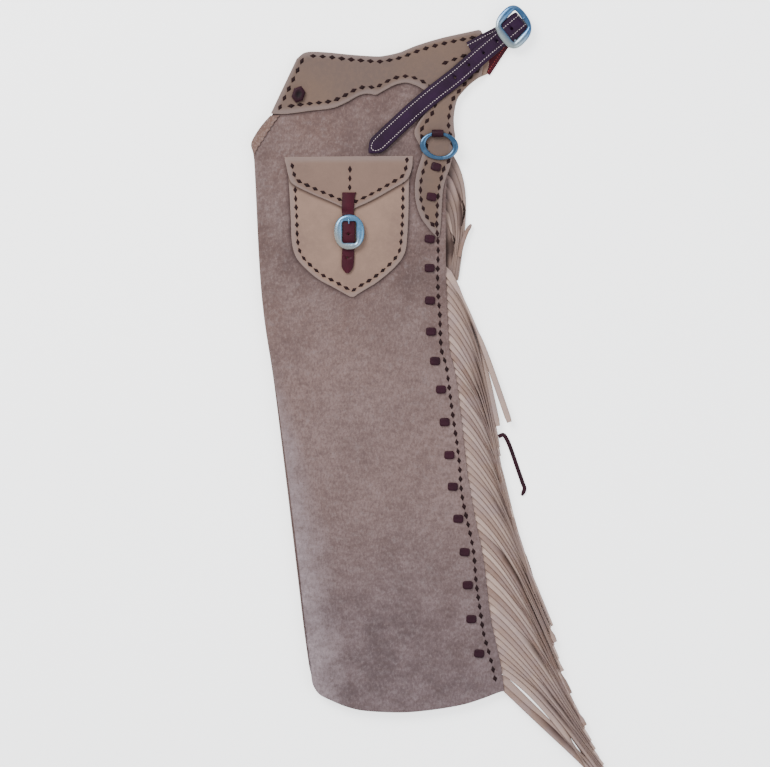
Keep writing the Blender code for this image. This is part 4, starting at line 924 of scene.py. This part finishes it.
def fringe(name, node, roots, comb, strip, width, level, steps, strand_shade):
    """A strip in the outseam with its strands cut from it. The last list says how much painted shade each
    strand gets.
    """
    half = width / 2
    cuts = np.array([c + s * half for c in roots for s in (-1, 1)])
    outer = np.column_stack([leg_right(cuts) - STRIP_OUTER_INSET, cuts])
    inset = np.where(cuts < STRIP_NARROWS, STRIP_INNER_INSET, STRIP_END_INSET)
    inner = np.column_stack([leg_right(cuts) - inset, cuts])
    low, high = strip
    points, tone, rim = [], [], []
    for o, i in zip(outer, inner):
        points.extend([(*i, low), (*i, high), (*o, high), (*o, low)])
        tone.extend([0.3] * 4)
        rim.extend([0.0] * 4)
    faces = [(0, 1, 2, 3), tuple(len(points) - 4 + k for k in (3, 2, 1, 0))]
    for k in range(len(cuts) - 1):
        a, b = 4 * k, 4 * k + 4
        faces.append((a, b, b + 1, a + 1))
        faces.append((a + 1, b + 1, b + 2, a + 2))
        faces.append((a + 3, a, b, b + 3)[::-1])
        if k % 2:
            faces.append((a + 2, b + 2, b + 3, a + 3))
    lines, angles = [], []
    for k, root in enumerate(roots):
        where = np.array([leg_right(root) - STRIP_OUTER_INSET, root])
        row = [by_down(comb, root, c) for c in (1, 2, 3)]
        row[2] *= 1 + 0.03 * math.sin(2.3 * k) + 0.02 * math.sin(5.1 * k)
        plan, angle = strand_line(where, *row, steps)
        lines.append(plan)
        angles.append(angle)
    for k in range(len(roots)):
        apart = np.full(steps + 1, 99.0)
        for other in (k - 1, k + 1):
            if 0 <= other < len(roots):
                fine = line(lines[other], 4)
                reach = np.linalg.norm(lines[k][:, None] - fine[None], axis=2).min(axis=1)
                apart = np.minimum(apart, reach)
        apart = np.minimum(apart, np.concatenate([apart[:1], apart[:-1]]))
        roll = np.arcsin(np.clip((STRAND_THICK + STRAND_CLEAR) / apart, 0, 0.94))
        tucked = roots[k] in TUCKED_ROOTS
        if tucked:
            roll = np.full(steps + 1, TUCKED_ROLL)
        base = 8 * k
        ring = [base + 3, base + 7, base + 6, base + 2]
        shade = 0.5 + 0.32 * math.sin(1.7 * k + 0.6) + 0.18 * math.sin(4.3 * k)
        for s in range(1, steps + 1):
            share = s / steps
            drawn, above = slit(k, share), slit(k - 1, share)
            upward = np.array([math.sin(angles[k][s]), -math.cos(angles[k][s]), 0])
            aside = upward * math.cos(roll[s]) - np.array([0, 0, math.sin(roll[s])])
            normal = upward * math.sin(roll[s]) + np.array([0, 0, math.cos(roll[s])])
            rise = (low + high) / 2 + (level - (low + high) / 2) * min(1.0, 2 * share)
            centre = np.array([*lines[k][s], rise])
            # Each strand is a little broader at its root, and a tucked one has a turned-in lower side,
            # painted dark as shade.
            across = aside * half * (1 + NEAR_FLARE * max(0.0, 1 - 2 * share)) * (1.0 if s < steps else 0.8)
            fold = 1 + (TUCKED_SPREAD - 1) * min(1.0, 10 * share) * (1 - 0.6 * share) if tucked else 1.0
            thick = normal * STRAND_THICK
            now = len(points)
            for x, z, dark, below in STRAND_SECTION:
                place = x + drawn * min(1.0, 0.4 - x) if x < 0.4 else x + 0.9 * above * (x - 0.05)
                point = centre + across * place * (fold if x < 0 else 1.0) + thick * z
                point[2] = max(point[2], FLOOR_CLEAR)
                points.append(point)
                # Painted shade: darker strand sides, the strand under a slit, and each strand's own share of
                # shade.
                deep = dark * min(1.0, 6 * share) + below * min(1.0, above)
                if tucked and x < 0:
                    deep = TUCKED_SIDE_SHADE
                rim.append(min(1.0, deep + strand_shade[k]))
                tone.append(shade)
            new = list(range(now, now + len(STRAND_SECTION)))
            if s == 1:
                for e, f in ((0, 1), (1, 2), (3, 0)):
                    faces.append((ring[f], ring[e], new[ROOT_CORNERS[e]], new[ROOT_CORNERS[f]]))
                faces.append((ring[3], ring[2], *new[2:]))
            else:
                for e in range(len(new)):
                    f = (e + 1) % len(new)
                    faces.append((ring[f], ring[e], new[e], new[f]))
            ring = new
        faces.append(tuple(ring[::-1]))
    piece = sew(name, points, faces, FRINGE_FINISH, marks={"tone": tone, "rim": rim}, sharp=35.0)
    stands_for(piece, "fringe_leather", node)


def fringes():
    near = np.linspace(*NEAR_ROOTS)
    unshaded = np.zeros(len(near))
    fringe("front_fringe", "near_fringe", near, NEAR_COMB, STRIP_NEAR, NEAR_WIDTH, NEAR_LEVEL,
           NEAR_STEPS, unshaded)
    far = [*TUCKED_ROOTS, *np.linspace(*FAR_ROOTS)]
    tucked = [TUCKED_SHADE + 0.25 * math.sin(2.1 * k) for k in range(len(TUCKED_ROOTS))]
    strand_shade = tucked + [FAR_SHADE] * (len(far) - len(tucked))
    fringe("back_fringe", "far_fringe", far, FAR_COMB, STRIP_FAR, FAR_WIDTH, FAR_LEVEL, FAR_STEPS, strand_shade)


# Straps
BILLET_SPREAD = 0.19
BILLET_POINT = [  # from the tip, share of the half width
    (0.0, 0.08), (1.5, 0.2), (5.4, 0.45), (10.8, 0.78), (14.5, 0.93), (19.0, 1.0),
]
BILLET_PUNCH = (8.0, 22.0)  # height, from and to
POCKET_PUNCH = (15.0, 34.0)  # height, from and to
POCKET_HOLE_RADIUS = 1.6
BACK_STRAP_FROM = 262.0  # across
BACK_STRAP_BELOW = 8.0  # height
CHAPE_CLEAR = 0.4
CHAPE_TAIL = 9.0
STRAP_SECTION = [  # share of the half width, share of the thickness, rim
    (-0.96, 0.0, 0.8), (0.96, 0.0, 0.8), (1.0, 0.2, 1.0), (1.0, 0.75, 1.0), (0.975, 0.93, 0.7),
    (0.92, 1.0, 0.15), (0.0, 1.0, 0.0), (-0.92, 1.0, 0.15),
    (-0.975, 0.93, 0.7), (-1.0, 0.75, 1.0), (-1.0, 0.2, 1.0),
]


def strap(name, rows, half_widths, thick, finish, side=None):
    """A flat strap with rounded edges. Its rows are the underside's middle points."""
    p = np.array(rows, float)
    along = unit(np.gradient(p, axis=0))
    side = unit(np.cross(along, (0, 0, 1.0))) if side is None else side
    normal = unit(np.cross(side, along))
    rings, rim = [], []
    for point, s, n, w in zip(p, side, normal, half_widths):
        rings.append([point + s * w * x + n * thick * z for x, z, _ in STRAP_SECTION])
        rim.extend(r for _, _, r in STRAP_SECTION)
    return band(name, rings, finish, marks={"rim": rim})


def punch(piece, places, radius, low, high):
    """Round holes through a strap, with the cutter taken away again."""
    sides = 20
    points, faces = [], []
    for across, down in places:
        base = len(points)
        for level in (low, high):
            for k in range(sides):
                turn = 2 * math.pi * k / sides
                points.append((across + radius * math.cos(turn), down + radius * math.sin(turn), level))
        for k in range(sides):
            n = (k + 1) % sides
            faces.append((base + k, base + n, base + sides + n, base + sides + k))
        faces.append(tuple(base + k for k in reversed(range(sides))))
        faces.append(tuple(base + sides + k for k in range(sides)))
    cutter = sew(piece.name + "_punch", points, faces, piece.data.materials[0])
    cut = piece.modifiers.new("holes", "BOOLEAN")
    cut.operation = "DIFFERENCE"
    cut.solver = "EXACT"
    cut.object = cutter
    shown = piece.evaluated_get(bpy.context.evaluated_depsgraph_get())
    fresh = bpy.data.meshes.new_from_object(shown)
    piece.modifiers.clear()
    piece.data = fresh
    bpy.data.objects.remove(cutter)


def billet_lines():
    """The billet's underside from its point to the back arm, and the sideways direction along it."""
    rows = [(a, d, float(yoke_top(a, d)) + lift) for a, d, lift in BILLET_TOP]
    top = line([*rows, *BILLET_REST], 8)
    under = line(BILLET_UNDER, 6)
    start, end = top[-1], under[0]
    nose = np.array(BILLET_NOSE)
    bend, folds = [], 14
    high, low = start[2], end[2] + STRAP_LEATHER
    for k in range(1, folds):
        angle = math.pi * k / folds
        base = start[:2] * (1 - k / folds) + end[:2] * k / folds
        plan = base + (nose + (2.0, -1.8) - base) * math.sin(angle)
        bend.append((*plan, (high + low) / 2 + (high - low) / 2 * math.cos(angle)))
    middle = np.vstack([top, bend, under + (0, 0, STRAP_LEATHER)])
    along = unit(np.gradient(middle, axis=0))
    plan = np.column_stack([along[:, :2], np.zeros(len(along))])
    plan[len(top) :] *= -1
    plan[len(top) - 1 : len(top) + len(bend)] = plan[len(top) - 2]
    return middle, unit(np.cross(unit(plan), (0, 0, 1.0))), len(top)


def chape_line():
    start, end = np.array(CHAPE_START), np.array(CHAPE_END)
    along = unit(end - start)
    rows = []
    for share in np.linspace(0, 0.78, 20):
        plan = start + (end - start) * share
        rest = float(yoke_top(*plan)) + 2 * GAP
        rows.append((*plan, rest if share < 0.5 else min(rest, CHAPE_LOW)))
    inner = BAR_RADIUS + CHAPE_CLEAR
    for k in range(0, 13):
        angle = math.pi / 2 - math.pi * k / 12
        rows.append((*(end + along * math.cos(angle) * inner), BAR_HEIGHT + inner * math.sin(angle)))
    rows.append((*(end - along * CHAPE_TAIL), BAR_HEIGHT - inner))
    return np.array(rows), along


def straps():
    middle, side, _ = billet_lines()
    half = STRAP_WIDTH / 2
    from_tip = travelled(middle[:, :2])
    width = half * by_down(BILLET_POINT, from_tip, 1)
    past_buckle = np.linalg.norm(middle[:, :2] - np.array(BUCKLE_CENTRE), axis=1)
    width *= 1 + BILLET_SPREAD * np.clip(2 - past_buckle / 10, 0, 1)
    billet = strap("billet_strap", middle, width, STRAP_LEATHER, BELT_FINISH, side)
    punch(billet, BILLET_HOLES, HOLE_RADIUS, *BILLET_PUNCH)
    # Past the buckle the strap is painted redder and brighter: painted sunlight on the belt leather.
    billet.data.materials.append(SUNLIT_STRAP_FINISH)
    start = (BACK_STRAP_FROM - MIDDLE_ACROSS) * MM
    for face in billet.data.polygons:
        face.material_index = int(face.center.x > start and face.center.z < BACK_STRAP_BELOW * MM)
    stands_for(billet, "strap_leather", "belt_billet")
    rows, along = chape_line()
    side = np.tile([along[1], -along[0], 0.0], (len(rows), 1))
    width = np.full(len(rows), half - CHAPE_CLEAR)
    chape = strap("chape_strap", rows, width, STRAP_LEATHER, BELT_FINISH, side)
    stands_for(chape, "strap_leather", "belt_chape")

    def ground(across, down):
        share = np.clip((down - STRAP_STEP[0]) / STRAP_STEP[1], 0, 1)
        return flap_top(across, down) * (1 - share) + (pocket_top(across, down) + 0.6) * share

    table = line(POCKET_STRAP, 6)
    rows = [(a, d, float(ground(a, d)) + lift) for a, d, _, lift in table]
    square = np.tile((1.0, 0.0, 0.0), (len(rows), 1))
    small = strap("pocket_strap_leather", rows, table[:, 2], STRAP_LEATHER, POCKET_STRAP_FINISH, square)
    punch(small, POCKET_STRAP_HOLES, POCKET_HOLE_RADIUS, *POCKET_PUNCH)
    stands_for(small, "lace_leather", "pocket_strap")
    ends = (("tail_of_lace", "loose_lace_end", LACE_END, LACE_FINISH, "lace_leather"),
            ("stray_strand_end", "stray_tie_end", STRAY_END, FRINGE_FINISH, "fringe_leather"))
    for name, node, table, finish, slot in ends:
        rows = line(table, 8)
        width = np.full(len(rows), LACE_WIDTH / 2)
        width[-4:] = LACE_WIDTH / 2 * np.array([0.92, 0.8, 0.65, 0.5])
        piece = strap(name, rows, width, LACE, finish)
        stands_for(piece, slot, node)


# Hardware
RIM_SECTION = [  # share from the outer edge to the window, share of the height
    (0.04, 0.05), (0.0, 0.3), (0.06, 0.62), (0.2, 0.9), (0.45, 1.0), (0.72, 0.92), (0.92, 0.66), (1.0, 0.35),
    (0.96, 0.05), (0.8, 0.0), (0.2, 0.0),
]
LOOP_SECTION = [  # share of the half length, share of the wall's thickness
    (-1, 0.25), (-0.94, 0.9), (-0.8, 1.0), (0, 1.03), (0.8, 1.0), (0.94, 0.9), (1, 0.25),
    (0.98, 0.0), (-0.98, 0.0),
]


def buckle(name, node, finish, centre, turn, outer, window, shift, levels, power, stretch=(1.0, 1.0)):
    """A cast frame round a squarish window, through one section turned about its centre."""
    count = 96
    along = np.array([math.cos(turn), -math.sin(turn)])
    beside = np.array([math.sin(turn), math.cos(turn)])
    low, high = levels

    def edge(half, exponent, offset, angle):
        c, s = math.cos(angle), math.sin(angle)
        radius = (abs(c / half[0]) ** exponent + abs(s / half[1]) ** exponent) ** (-1 / exponent)
        return np.array(centre) + (along * (radius * c + offset) + beside * radius * s) * stretch

    rings = []
    for k in range(count):
        angle = 2 * math.pi * (k + 0.5) / count
        o, i = edge(outer, power, 0, angle), edge(window, 9, shift, angle)
        rings.append([(*(o + (i - o) * share), low + (high - low) * level) for share, level in RIM_SECTION])
    piece = band(name, rings, finish, closed=True)
    stands_for(piece, "polished_metal", node)


def rod(name, node, path, radii, finish):
    """A round steel rod along a path."""
    sides = 14
    p = np.array(path, float)
    along = unit(np.gradient(p, axis=0))
    rings = []
    for point, a, radius in zip(p, along, radii):
        side = unit(np.cross(a, (0.3, 0.1, 1.0)))
        up = np.cross(side, a)
        turns = [2 * math.pi * k / sides for k in range(sides)]
        rings.append([point + radius * (side * math.cos(t) + up * math.sin(t)) for t in turns])
    piece = band(name, rings, finish)
    stands_for(piece, "polished_metal", node)


def rounded(path, steps, radius):
    """A rod's smooth line with its radius, brought in at both ends."""
    p = line(path, steps)
    radii = np.full(len(p), radius)
    radii[0] = radii[-1] = radius * 0.55
    radii[1] = radii[-2] = radius * 0.9
    return p, radii


def hardware():
    turn = math.radians(BUCKLE_ANGLE)
    centre = np.array(BUCKLE_CENTRE)
    along = np.array([math.cos(turn), -math.sin(turn)])
    beside = np.array([math.sin(turn), math.cos(turn)])
    window = (WINDOW_HALF, WINDOW_HALF)
    buckle("buckle_frame", "belt_buckle", BELT_STEEL, centre, turn, BUCKLE_HALF, window, WINDOW_SHIFT,
           (RIM_LOW, RIM_HIGH), 2.6, BUCKLE_STRETCH)
    chape_along = unit(np.array(CHAPE_END) - np.array(CHAPE_START))
    chape_side = np.array([-chape_along[1], chape_along[0]])
    end = np.array(CHAPE_END)
    reach = STRAP_WIDTH / 2 + BAR_OVERHANG
    post = RIM_LOW - GAP
    bar = [
        (*(end - chape_side * reach), post), (*(end - chape_side * reach), BAR_HEIGHT),
        (*(end + chape_side * reach), BAR_HEIGHT), (*(end + chape_side * reach), post),
    ]
    rod("buckle_bar", "belt_buckle_bar", bar, [BAR_RADIUS] * 4, BELT_STEEL)
    edge = WINDOW_HALF + WINDOW_SHIFT
    path = [(*(centre + along * (edge + past) + beside * 0.5), level) for past, level in TONGUE]
    rod("buckle_tongue", "belt_tongue", *rounded(path, 6, 1.3), BELT_STEEL)
    base = float(pocket_top(*POCKET_BUCKLE))
    levels = (base + POCKET_BUCKLE_LIFT, base + POCKET_BUCKLE_LIFT + POCKET_BUCKLE_THICK)
    buckle("pocket_buckle_frame", "pocket_buckle", POCKET_STEEL, POCKET_BUCKLE, 0.0, POCKET_BUCKLE_HALF,
           POCKET_WINDOW_HALF, 0.0, levels, 2.2)
    top = POCKET_BUCKLE[1] - POCKET_WINDOW_HALF[1]
    path = [(71.0, top + past, levels[1] + 1.3 + lift) for past, lift in POCKET_TONGUE]
    rod("pocket_buckle_tongue", "pocket_tongue", *rounded(path, 6, 1.0), POCKET_STEEL)


def ring_and_loop():
    base = float(yoke_top(LOOP_ACROSS, LOOP_DOWN)) + GAP + LOOP_OUTER
    sides = 40
    rings = []
    for share, level in LOOP_SECTION:
        radius = LOOP_INNER + (LOOP_OUTER - LOOP_INNER) * level
        across = LOOP_ACROSS + share * LOOP_LENGTH / 2
        turns = [2 * math.pi * (k + 0.5) / sides for k in range(sides)]
        rings.append([(across, LOOP_DOWN + radius * math.cos(t), base + radius * math.sin(t)) for t in turns])
    ends = [1 - abs(1 - abs(share)) * 5 if abs(share) > 0.8 else 0 for share, _ in LOOP_SECTION]
    rim = np.clip(np.repeat(ends, sides), 0, 1)
    loop = band("ring_loop_leather", rings, LACE_FINISH, closed=True, marks={"rim": rim})
    stands_for(loop, "lace_leather", "ring_loop")
    turn = math.radians(RING_TURN)
    start = math.atan2(-RING_SHORT * math.cos(turn), RING_LONG * math.sin(turn))
    count, tilt = 120, math.radians(RING_TILT)

    def place(angle, grow, level):
        u, w = (RING_LONG + grow) * math.cos(angle), (RING_SHORT + grow) * math.sin(angle)
        c, s = math.cos(turn), math.sin(turn)
        return np.array([u * c + w * s, w * c - u * s, level])

    hang = place(start, 0, 0)
    rings = []
    for k in range(count):
        angle = start + 2 * math.pi * k / count
        broad = RING_THICK + RING_AT_SIDES * math.sin(angle - start) ** 2
        broad += RING_AT_FOOT * math.sin((angle - start) / 2) ** 2
        ring = []
        for e in range(16):
            turned = 2 * math.pi * (e + 0.5) / 16
            flat = math.copysign(abs(math.sin(turned)) ** 0.7, math.sin(turned))
            p = place(angle, broad * math.cos(turned), RING_THICK * 0.95 * flat) - hang
            down = p[1] * math.cos(tilt) + p[2] * math.sin(tilt)
            up = p[2] * math.cos(tilt) - p[1] * math.sin(tilt)
            ring.append((LOOP_ACROSS + p[0], LOOP_DOWN + down, base + up))
        rings.append(ring)
    ring = band("steel_ring", rings, RING_STEEL, closed=True, body="ring")
    stands_for(ring, "polished_metal", "tie_ring")


# Laces
KNOT_SPREAD = 1.16
LACE_STITCH = [  # size in plan, height
    (0.84, -0.25), (0.98, 0.1), (1.0, 0.45), (0.93, 0.8), (0.76, 0.98), (0.5, 1.02), (0.22, 1.0),
]


def lace_stitch(across, down, half, thick, turn, under, corners=4):
    """Rings of a flat lace where it comes up through one slit and goes down through the next."""
    sides = 24
    spread = [(across + x * half[0], down + y * half[1]) for x in (-1, 0, 1) for y in (-1, 0, 1)]
    base = max(float(under(*spot)) for spot in spread) + GAP
    t = math.radians(turn)
    rings = []
    for scale, level in LACE_STITCH:
        ring = []
        for k in range(sides):
            angle = 2 * math.pi * (k + (0.5 if corners == 4 else 0)) / sides
            c, s = math.cos(angle), math.sin(angle)
            radius = (abs(c) ** 5 + abs(s) ** 5) ** -0.2
            if corners == 6:
                radius = math.cos(math.pi / 6) / math.cos((angle + math.pi / 6) % (math.pi / 3) - math.pi / 6)
            x, y = half[0] * radius * scale * c, half[1] * radius * scale * s
            # The middle of the lace sinks a little between its two rounded edges.
            # A knot's whole middle does.
            dip = 0.14 * thick * math.exp(-((y / half[1] / 0.4) ** 2)) if level > 0.7 else 0.0
            if corners == 6:
                dip = 0.3 * thick * max(0.0, 1 - scale / 0.6)
            end = 0.3 * thick * max(0.0, abs(x / half[0]) - 0.55)
            ring.append((across + x * math.cos(t) - y * math.sin(t), down + x * math.sin(t) + y * math.cos(t),
                         base + thick * level - dip - (end if level > 0.3 else 0)))
        rings.append(ring)
    return rings


def laces():
    points, faces = [], []
    for number, (across, down, turn) in enumerate(TIES, 1):
        under = yoke_top if number <= 2 else panel_top
        rings = lace_stitch(across, down, TIE_HALF, TIE_THICK, turn, under)
        faces.extend(ring_faces(rings, len(points)))
        points.extend(p for ring in rings for p in ring)
    ties = sew("side_ties", points, faces, LACE_FINISH)
    stands_for(ties, "lace_leather", *[f"side_tie_{n}" for n in range(1, 17)])
    across, down, long, wide, thick, turn = KNOT
    rings = lace_stitch(across, down, (long * KNOT_SPREAD, wide * KNOT_SPREAD), thick, turn, yoke_top, 6)
    dark = np.repeat([0, 0, 0, 0, 0.1, 0.5, 1.0], len(rings[0]))
    knot = band("front_knot", rings, LACE_FINISH, marks={"rim": dark})
    stands_for(knot, "lace_leather", "front_lace_knot")


# Sewing
def stitch_tree(name, finish):
    """Stitches of one size along a path, each laid along it, as one mesh."""
    tree = bpy.data.node_groups.new(name, "GeometryNodeTree")
    face = tree.interface
    face.new_socket("Path", in_out="INPUT", socket_type="NodeSocketGeometry")
    for label in ("Pitch", "Length", "Width", "Height"):
        face.new_socket(label, in_out="INPUT", socket_type="NodeSocketFloat")
    face.new_socket("Sides", in_out="INPUT", socket_type="NodeSocketInt")
    face.new_socket("Rings", in_out="INPUT", socket_type="NodeSocketInt")
    face.new_socket("Seed", in_out="INPUT", socket_type="NodeSocketInt")
    face.new_socket("Stitches", in_out="OUTPUT", socket_type="NodeSocketGeometry")

    def node(kind, inputs=None, **settings):
        return add_node(tree, kind, inputs, **settings)

    start = node("NodeGroupInput").outputs
    curve = node("GeometryNodeMeshToCurve", {"Mesh": start["Path"]})
    upright = node("GeometryNodeSetCurveNormal", {"Curve": curve.outputs["Curve"]}, mode="Z_UP")
    spots = node("GeometryNodeCurveToPoints", {"Curve": upright.outputs["Curve"], "Length": start["Pitch"]},
                 mode="LENGTH")
    ball = node("GeometryNodeMeshUVSphere", {
        "Segments": start["Sides"], "Rings": start["Rings"], "Radius": 0.5})
    size = node("ShaderNodeCombineXYZ", {"X": start["Width"], "Y": start["Length"], "Z": start["Height"]})
    stitch = node("GeometryNodeTransform", {
        "Geometry": ball.outputs["Mesh"], "Scale": size.outputs["Vector"], "Rotation": (math.pi / 2, 0, 0)})
    vary = node("FunctionNodeRandomValue", {"Seed": start["Seed"]}, data_type="FLOAT_VECTOR")
    vary.inputs[0].default_value = (0.86, 0.9, 0.9)
    vary.inputs[1].default_value = (1.12, 1.1, 1.08)
    sewn = node("GeometryNodeInstanceOnPoints", {
        "Points": spots.outputs["Points"], "Instance": stitch.outputs["Geometry"],
        "Rotation": spots.outputs["Rotation"], "Scale": vary.outputs["Value"]})
    whole = node("GeometryNodeRealizeInstances", {"Geometry": sewn.outputs["Instances"]})
    coloured = node("GeometryNodeSetMaterial", {"Geometry": whole.outputs["Geometry"], "Material": finish})
    node("NodeGroupOutput", {"Stitches": coloured.outputs["Geometry"]})
    return tree


def stitches(name, paths, finish, size, seed):
    """One piece with all the stitches of one kind, along paths given in the garment's frame."""
    points, edges = [], []
    for path in paths:
        first = len(points)
        points.extend(world(path).tolist())
        edges.extend((k, k + 1) for k in range(first, len(points) - 1))
    guide = bpy.data.meshes.new(name + "_path")
    guide.from_pydata(points, edges, [])
    holder = placed(name + "_path", guide)
    sewing = holder.modifiers.new("sewing", "NODES")
    sewing.node_group = stitch_tree(name, finish)
    sizes = {"Seed": seed}
    for label, value in size.items():
        sizes[label] = value if label in ("Sides", "Rings") else value * MM
    for item in sewing.node_group.interface.items_tree:
        if item.in_out == "INPUT" and item.name in sizes:
            sewing[item.identifier] = sizes[item.name]
    shown = holder.evaluated_get(bpy.context.evaluated_depsgraph_get())
    mesh = bpy.data.meshes.new_from_object(shown)
    bpy.data.objects.remove(holder)
    mesh.name = name
    mesh.shade_smooth()
    piece = placed(name, mesh)
    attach(piece, "chaps")


def inside(points, distance):
    """A line moved to its left-hand side, by a distance that may change from its start to its end."""
    p = np.array(points, float)[:, :2]
    fine = at_places(p, np.linspace(0, 1, 500))
    along = unit(np.gradient(fine, axis=0))
    reach = np.linspace(*distance, len(fine)) if np.ndim(distance) else np.full(len(fine), distance)
    moved = fine + np.stack([-along[:, 1], along[:, 0]], axis=1) * reach[:, None]
    apart = np.linalg.norm(moved[:, None] - fine[None], axis=2).min(axis=1)
    return moved[apart > np.abs(reach) * 0.97]


def clear_of(row, others, distance):
    """The points of a row that keep a distance from another line."""
    fine = at_places(np.array(others, float), np.linspace(0, 1, 500))
    return row[np.linalg.norm(row[:, None] - fine[None], axis=2).min(axis=1) > distance]


def on(plan, top, sink):
    """A plan line laid on a surface, sunk into it a little."""
    return np.column_stack([plan, top(plan[:, 0], plan[:, 1]) - sink])


def between(plan, low, high):
    """The part of a line between two shares of its length."""
    return at_places(plan, np.linspace(low, high, 160))


BUCK_STITCH = {"Pitch": 13.2, "Length": 12.3, "Width": 6.8, "Height": 2.6, "Sides": 4, "Rings": 3}
POCKET_STITCH = {"Pitch": 12.5, "Length": 11.8, "Width": 6.2, "Height": 2.6, "Sides": 4, "Rings": 3}
THREAD_STITCH = {"Pitch": 3.9, "Length": 2.7, "Width": 0.95, "Height": 0.8, "Sides": 6, "Rings": 4}
BUCK_IN = 8.4
BUCK_SINK = 0.1
FRONT_ROW = (2.0, 75.5)  # down, from and to
BOTTOM_ROW_FROM = -13.0  # across
TOP_ROW_FROM = 18.5  # across


def buck_stitching():
    outer, inner = YOKE_SIDES[:, 0:2], YOKE_SIDES[:, 2:4]
    front = inside([outer[0], inner[0]], -BUCK_IN)
    right = line(RIGHT_ROW, 6)
    top = inside(outer[: YOKE_CORNERS[2] * SIDE_STEPS + 1], (6.2, 9.4))
    top = top[top[:, 0] > TOP_ROW_FROM]
    bottom = clear_of(inside(inner, (-10.8, -7.6)), right, 6.0)
    bottom = bottom[bottom[:, 0] > BOTTOM_ROW_FROM]
    front = front[(front[:, 1] > FRONT_ROW[0]) & (front[:, 1] < FRONT_ROW[1])]
    paths = [on(row, yoke_top, BUCK_SINK) for row in (top, bottom, front, np.array(CHAPE_ROW))]
    on_yoke = right[right[:, 1] < YOKE_TIP_DOWN]
    on_leg = right[right[:, 1] > YOKE_TIP_DOWN + 4]
    paths.append(on(on_yoke, yoke_top, BUCK_SINK))
    paths.append(on(on_leg, panel_top, BUCK_SINK))
    stitches("buck_stitches", paths, BUCK_FINISH, BUCK_STITCH, 7)
    round_pocket = inside(all_round(POCKET_SIDES), -BUCK_IN)
    paths = [on(between(round_pocket, 0.085, 0.945), pocket_top, BUCK_SINK)]
    round_flap = inside(all_round(FLAP_SIDES), -BUCK_IN)
    paths.append(on(between(round_flap, 0.06, 0.975), flap_top, BUCK_SINK))
    paths.append(on(np.array(FLAP_ROW), flap_top, BUCK_SINK))
    stitches("pocket_stitches", paths, BUCK_FINISH, POCKET_STITCH, 9)


THREAD_IN = 5.2
THREAD_POINT = [  # past the billet's tip, away from its middle
    (6.6, 0.2), (7.2, 2.4), (9.2, 4.6), (13.0, 6.8), (19.0, STRAP_WIDTH / 2 - THREAD_IN),
]
THREAD_LIFT = 0.05


def thread_stitching():
    middle, side, count = billet_lines()
    half = STRAP_WIDTH / 2
    along = unit(np.gradient(middle, axis=0))
    normal = unit(np.cross(side, along))
    face = middle + normal * (STRAP_LEATHER + THREAD_LIFT)
    past = travelled(middle)
    later = past[: count + 6]
    places = np.concatenate([np.linspace(THREAD_POINT[0][0], 22, 16), later[later > 22]])
    spread = by_down(THREAD_POINT, places, 1)

    def picked(rows):
        return np.stack([np.interp(places, past, rows[:, k]) for k in range(3)], axis=1)

    left = picked(face) - picked(side) * spread[:, None]
    right = picked(face) + picked(side) * spread[:, None]
    white = [np.vstack([left[::-1], right])]
    rows, along = chape_line()
    beside = np.array([along[1], -along[0], 0.0])
    for sign in (-1, 1):
        white.append((rows + beside * sign * (half - THREAD_IN) + (0, 0, STRAP_LEATHER + THREAD_LIFT))[:18])
    stitches("white_thread", white, THREAD_FINISH, THREAD_STITCH, 3)
    under = middle[count + 15 :] + (0, 0, THREAD_LIFT)
    red = [under + side[count + 15 :] * sign * (half - THREAD_IN) for sign in (-1, 1)]
    stitches("red_thread", red, RED_THREAD_FINISH, THREAD_STITCH, 5)


# Floor, camera and light
FLOOR_HALF = 6  # metres
FLOOR_LEVEL = -0.0004  # metres


def floor():
    f = Finish("pale floor", 0.9, Emission_Color=(1, 1, 1, 1), Emission_Strength=1.5)
    grain = f.noise(3.0, 3.0, 0.5)
    material = f.finish(f.mix(f.ramp(grain, 0.3, 0.7), (0.86, 0.86, 0.86, 1), (0.88, 0.88, 0.88, 1)))
    mesh = bpy.data.meshes.new("floor")
    corners = [(x * FLOOR_HALF, y * FLOOR_HALF, FLOOR_LEVEL) for x, y in ((-1, -1), (1, -1), (1, 1), (-1, 1))]
    mesh.from_pydata(corners, [], [(0, 1, 2, 3)])
    mesh.materials.append(material)
    placed("floor", mesh)


def soft_light(name, place, size, power, colour):
    light = bpy.data.lights.new(name, "AREA")
    light.shape = "DISK"
    light.size = size
    light.energy = power
    light.color = colour
    made = placed(name, light)
    made.location = place
    made.rotation_euler = (Vector((0, 0, 0)) - Vector(place)).to_track_quat("-Z", "Y").to_euler()


def camera():
    lens = bpy.data.cameras.new("camera")
    lens.sensor_width = SENSOR
    lens.lens = SENSOR * CAMERA_HEIGHT / (PICTURE_WIDTH * PIXEL * MM)
    lens.clip_end = 50
    made = placed("camera", lens)
    x, y, z = world([(*PICTURE_MIDDLE, 15.0)])[0]
    made.location = (x, y, z + CAMERA_HEIGHT)
    bpy.context.scene.camera = made


# Making: the camera first, then the pieces, the floor and the light
camera()
near_leg()
hidden_legs()
leather_panels()
fringes()
straps()
hardware()
ring_and_loop()
laces()
buck_stitching()
thread_stitching()
floor()
soft_light("window", (-1.5, 1.9, 2.5), 2.0, 150, (1.0, 0.985, 0.97))
soft_light("fill", (2.0, -0.8, 2.8), 3.0, 50, (0.95, 0.975, 1.0))
sky = bpy.data.worlds.new("studio")
sky.use_nodes = True
sky.node_tree.nodes["Background"].inputs["Color"].default_value = (0.93, 0.96, 1.0, 1)
sky.node_tree.nodes["Background"].inputs["Strength"].default_value = 1.15
bpy.context.scene.world = sky
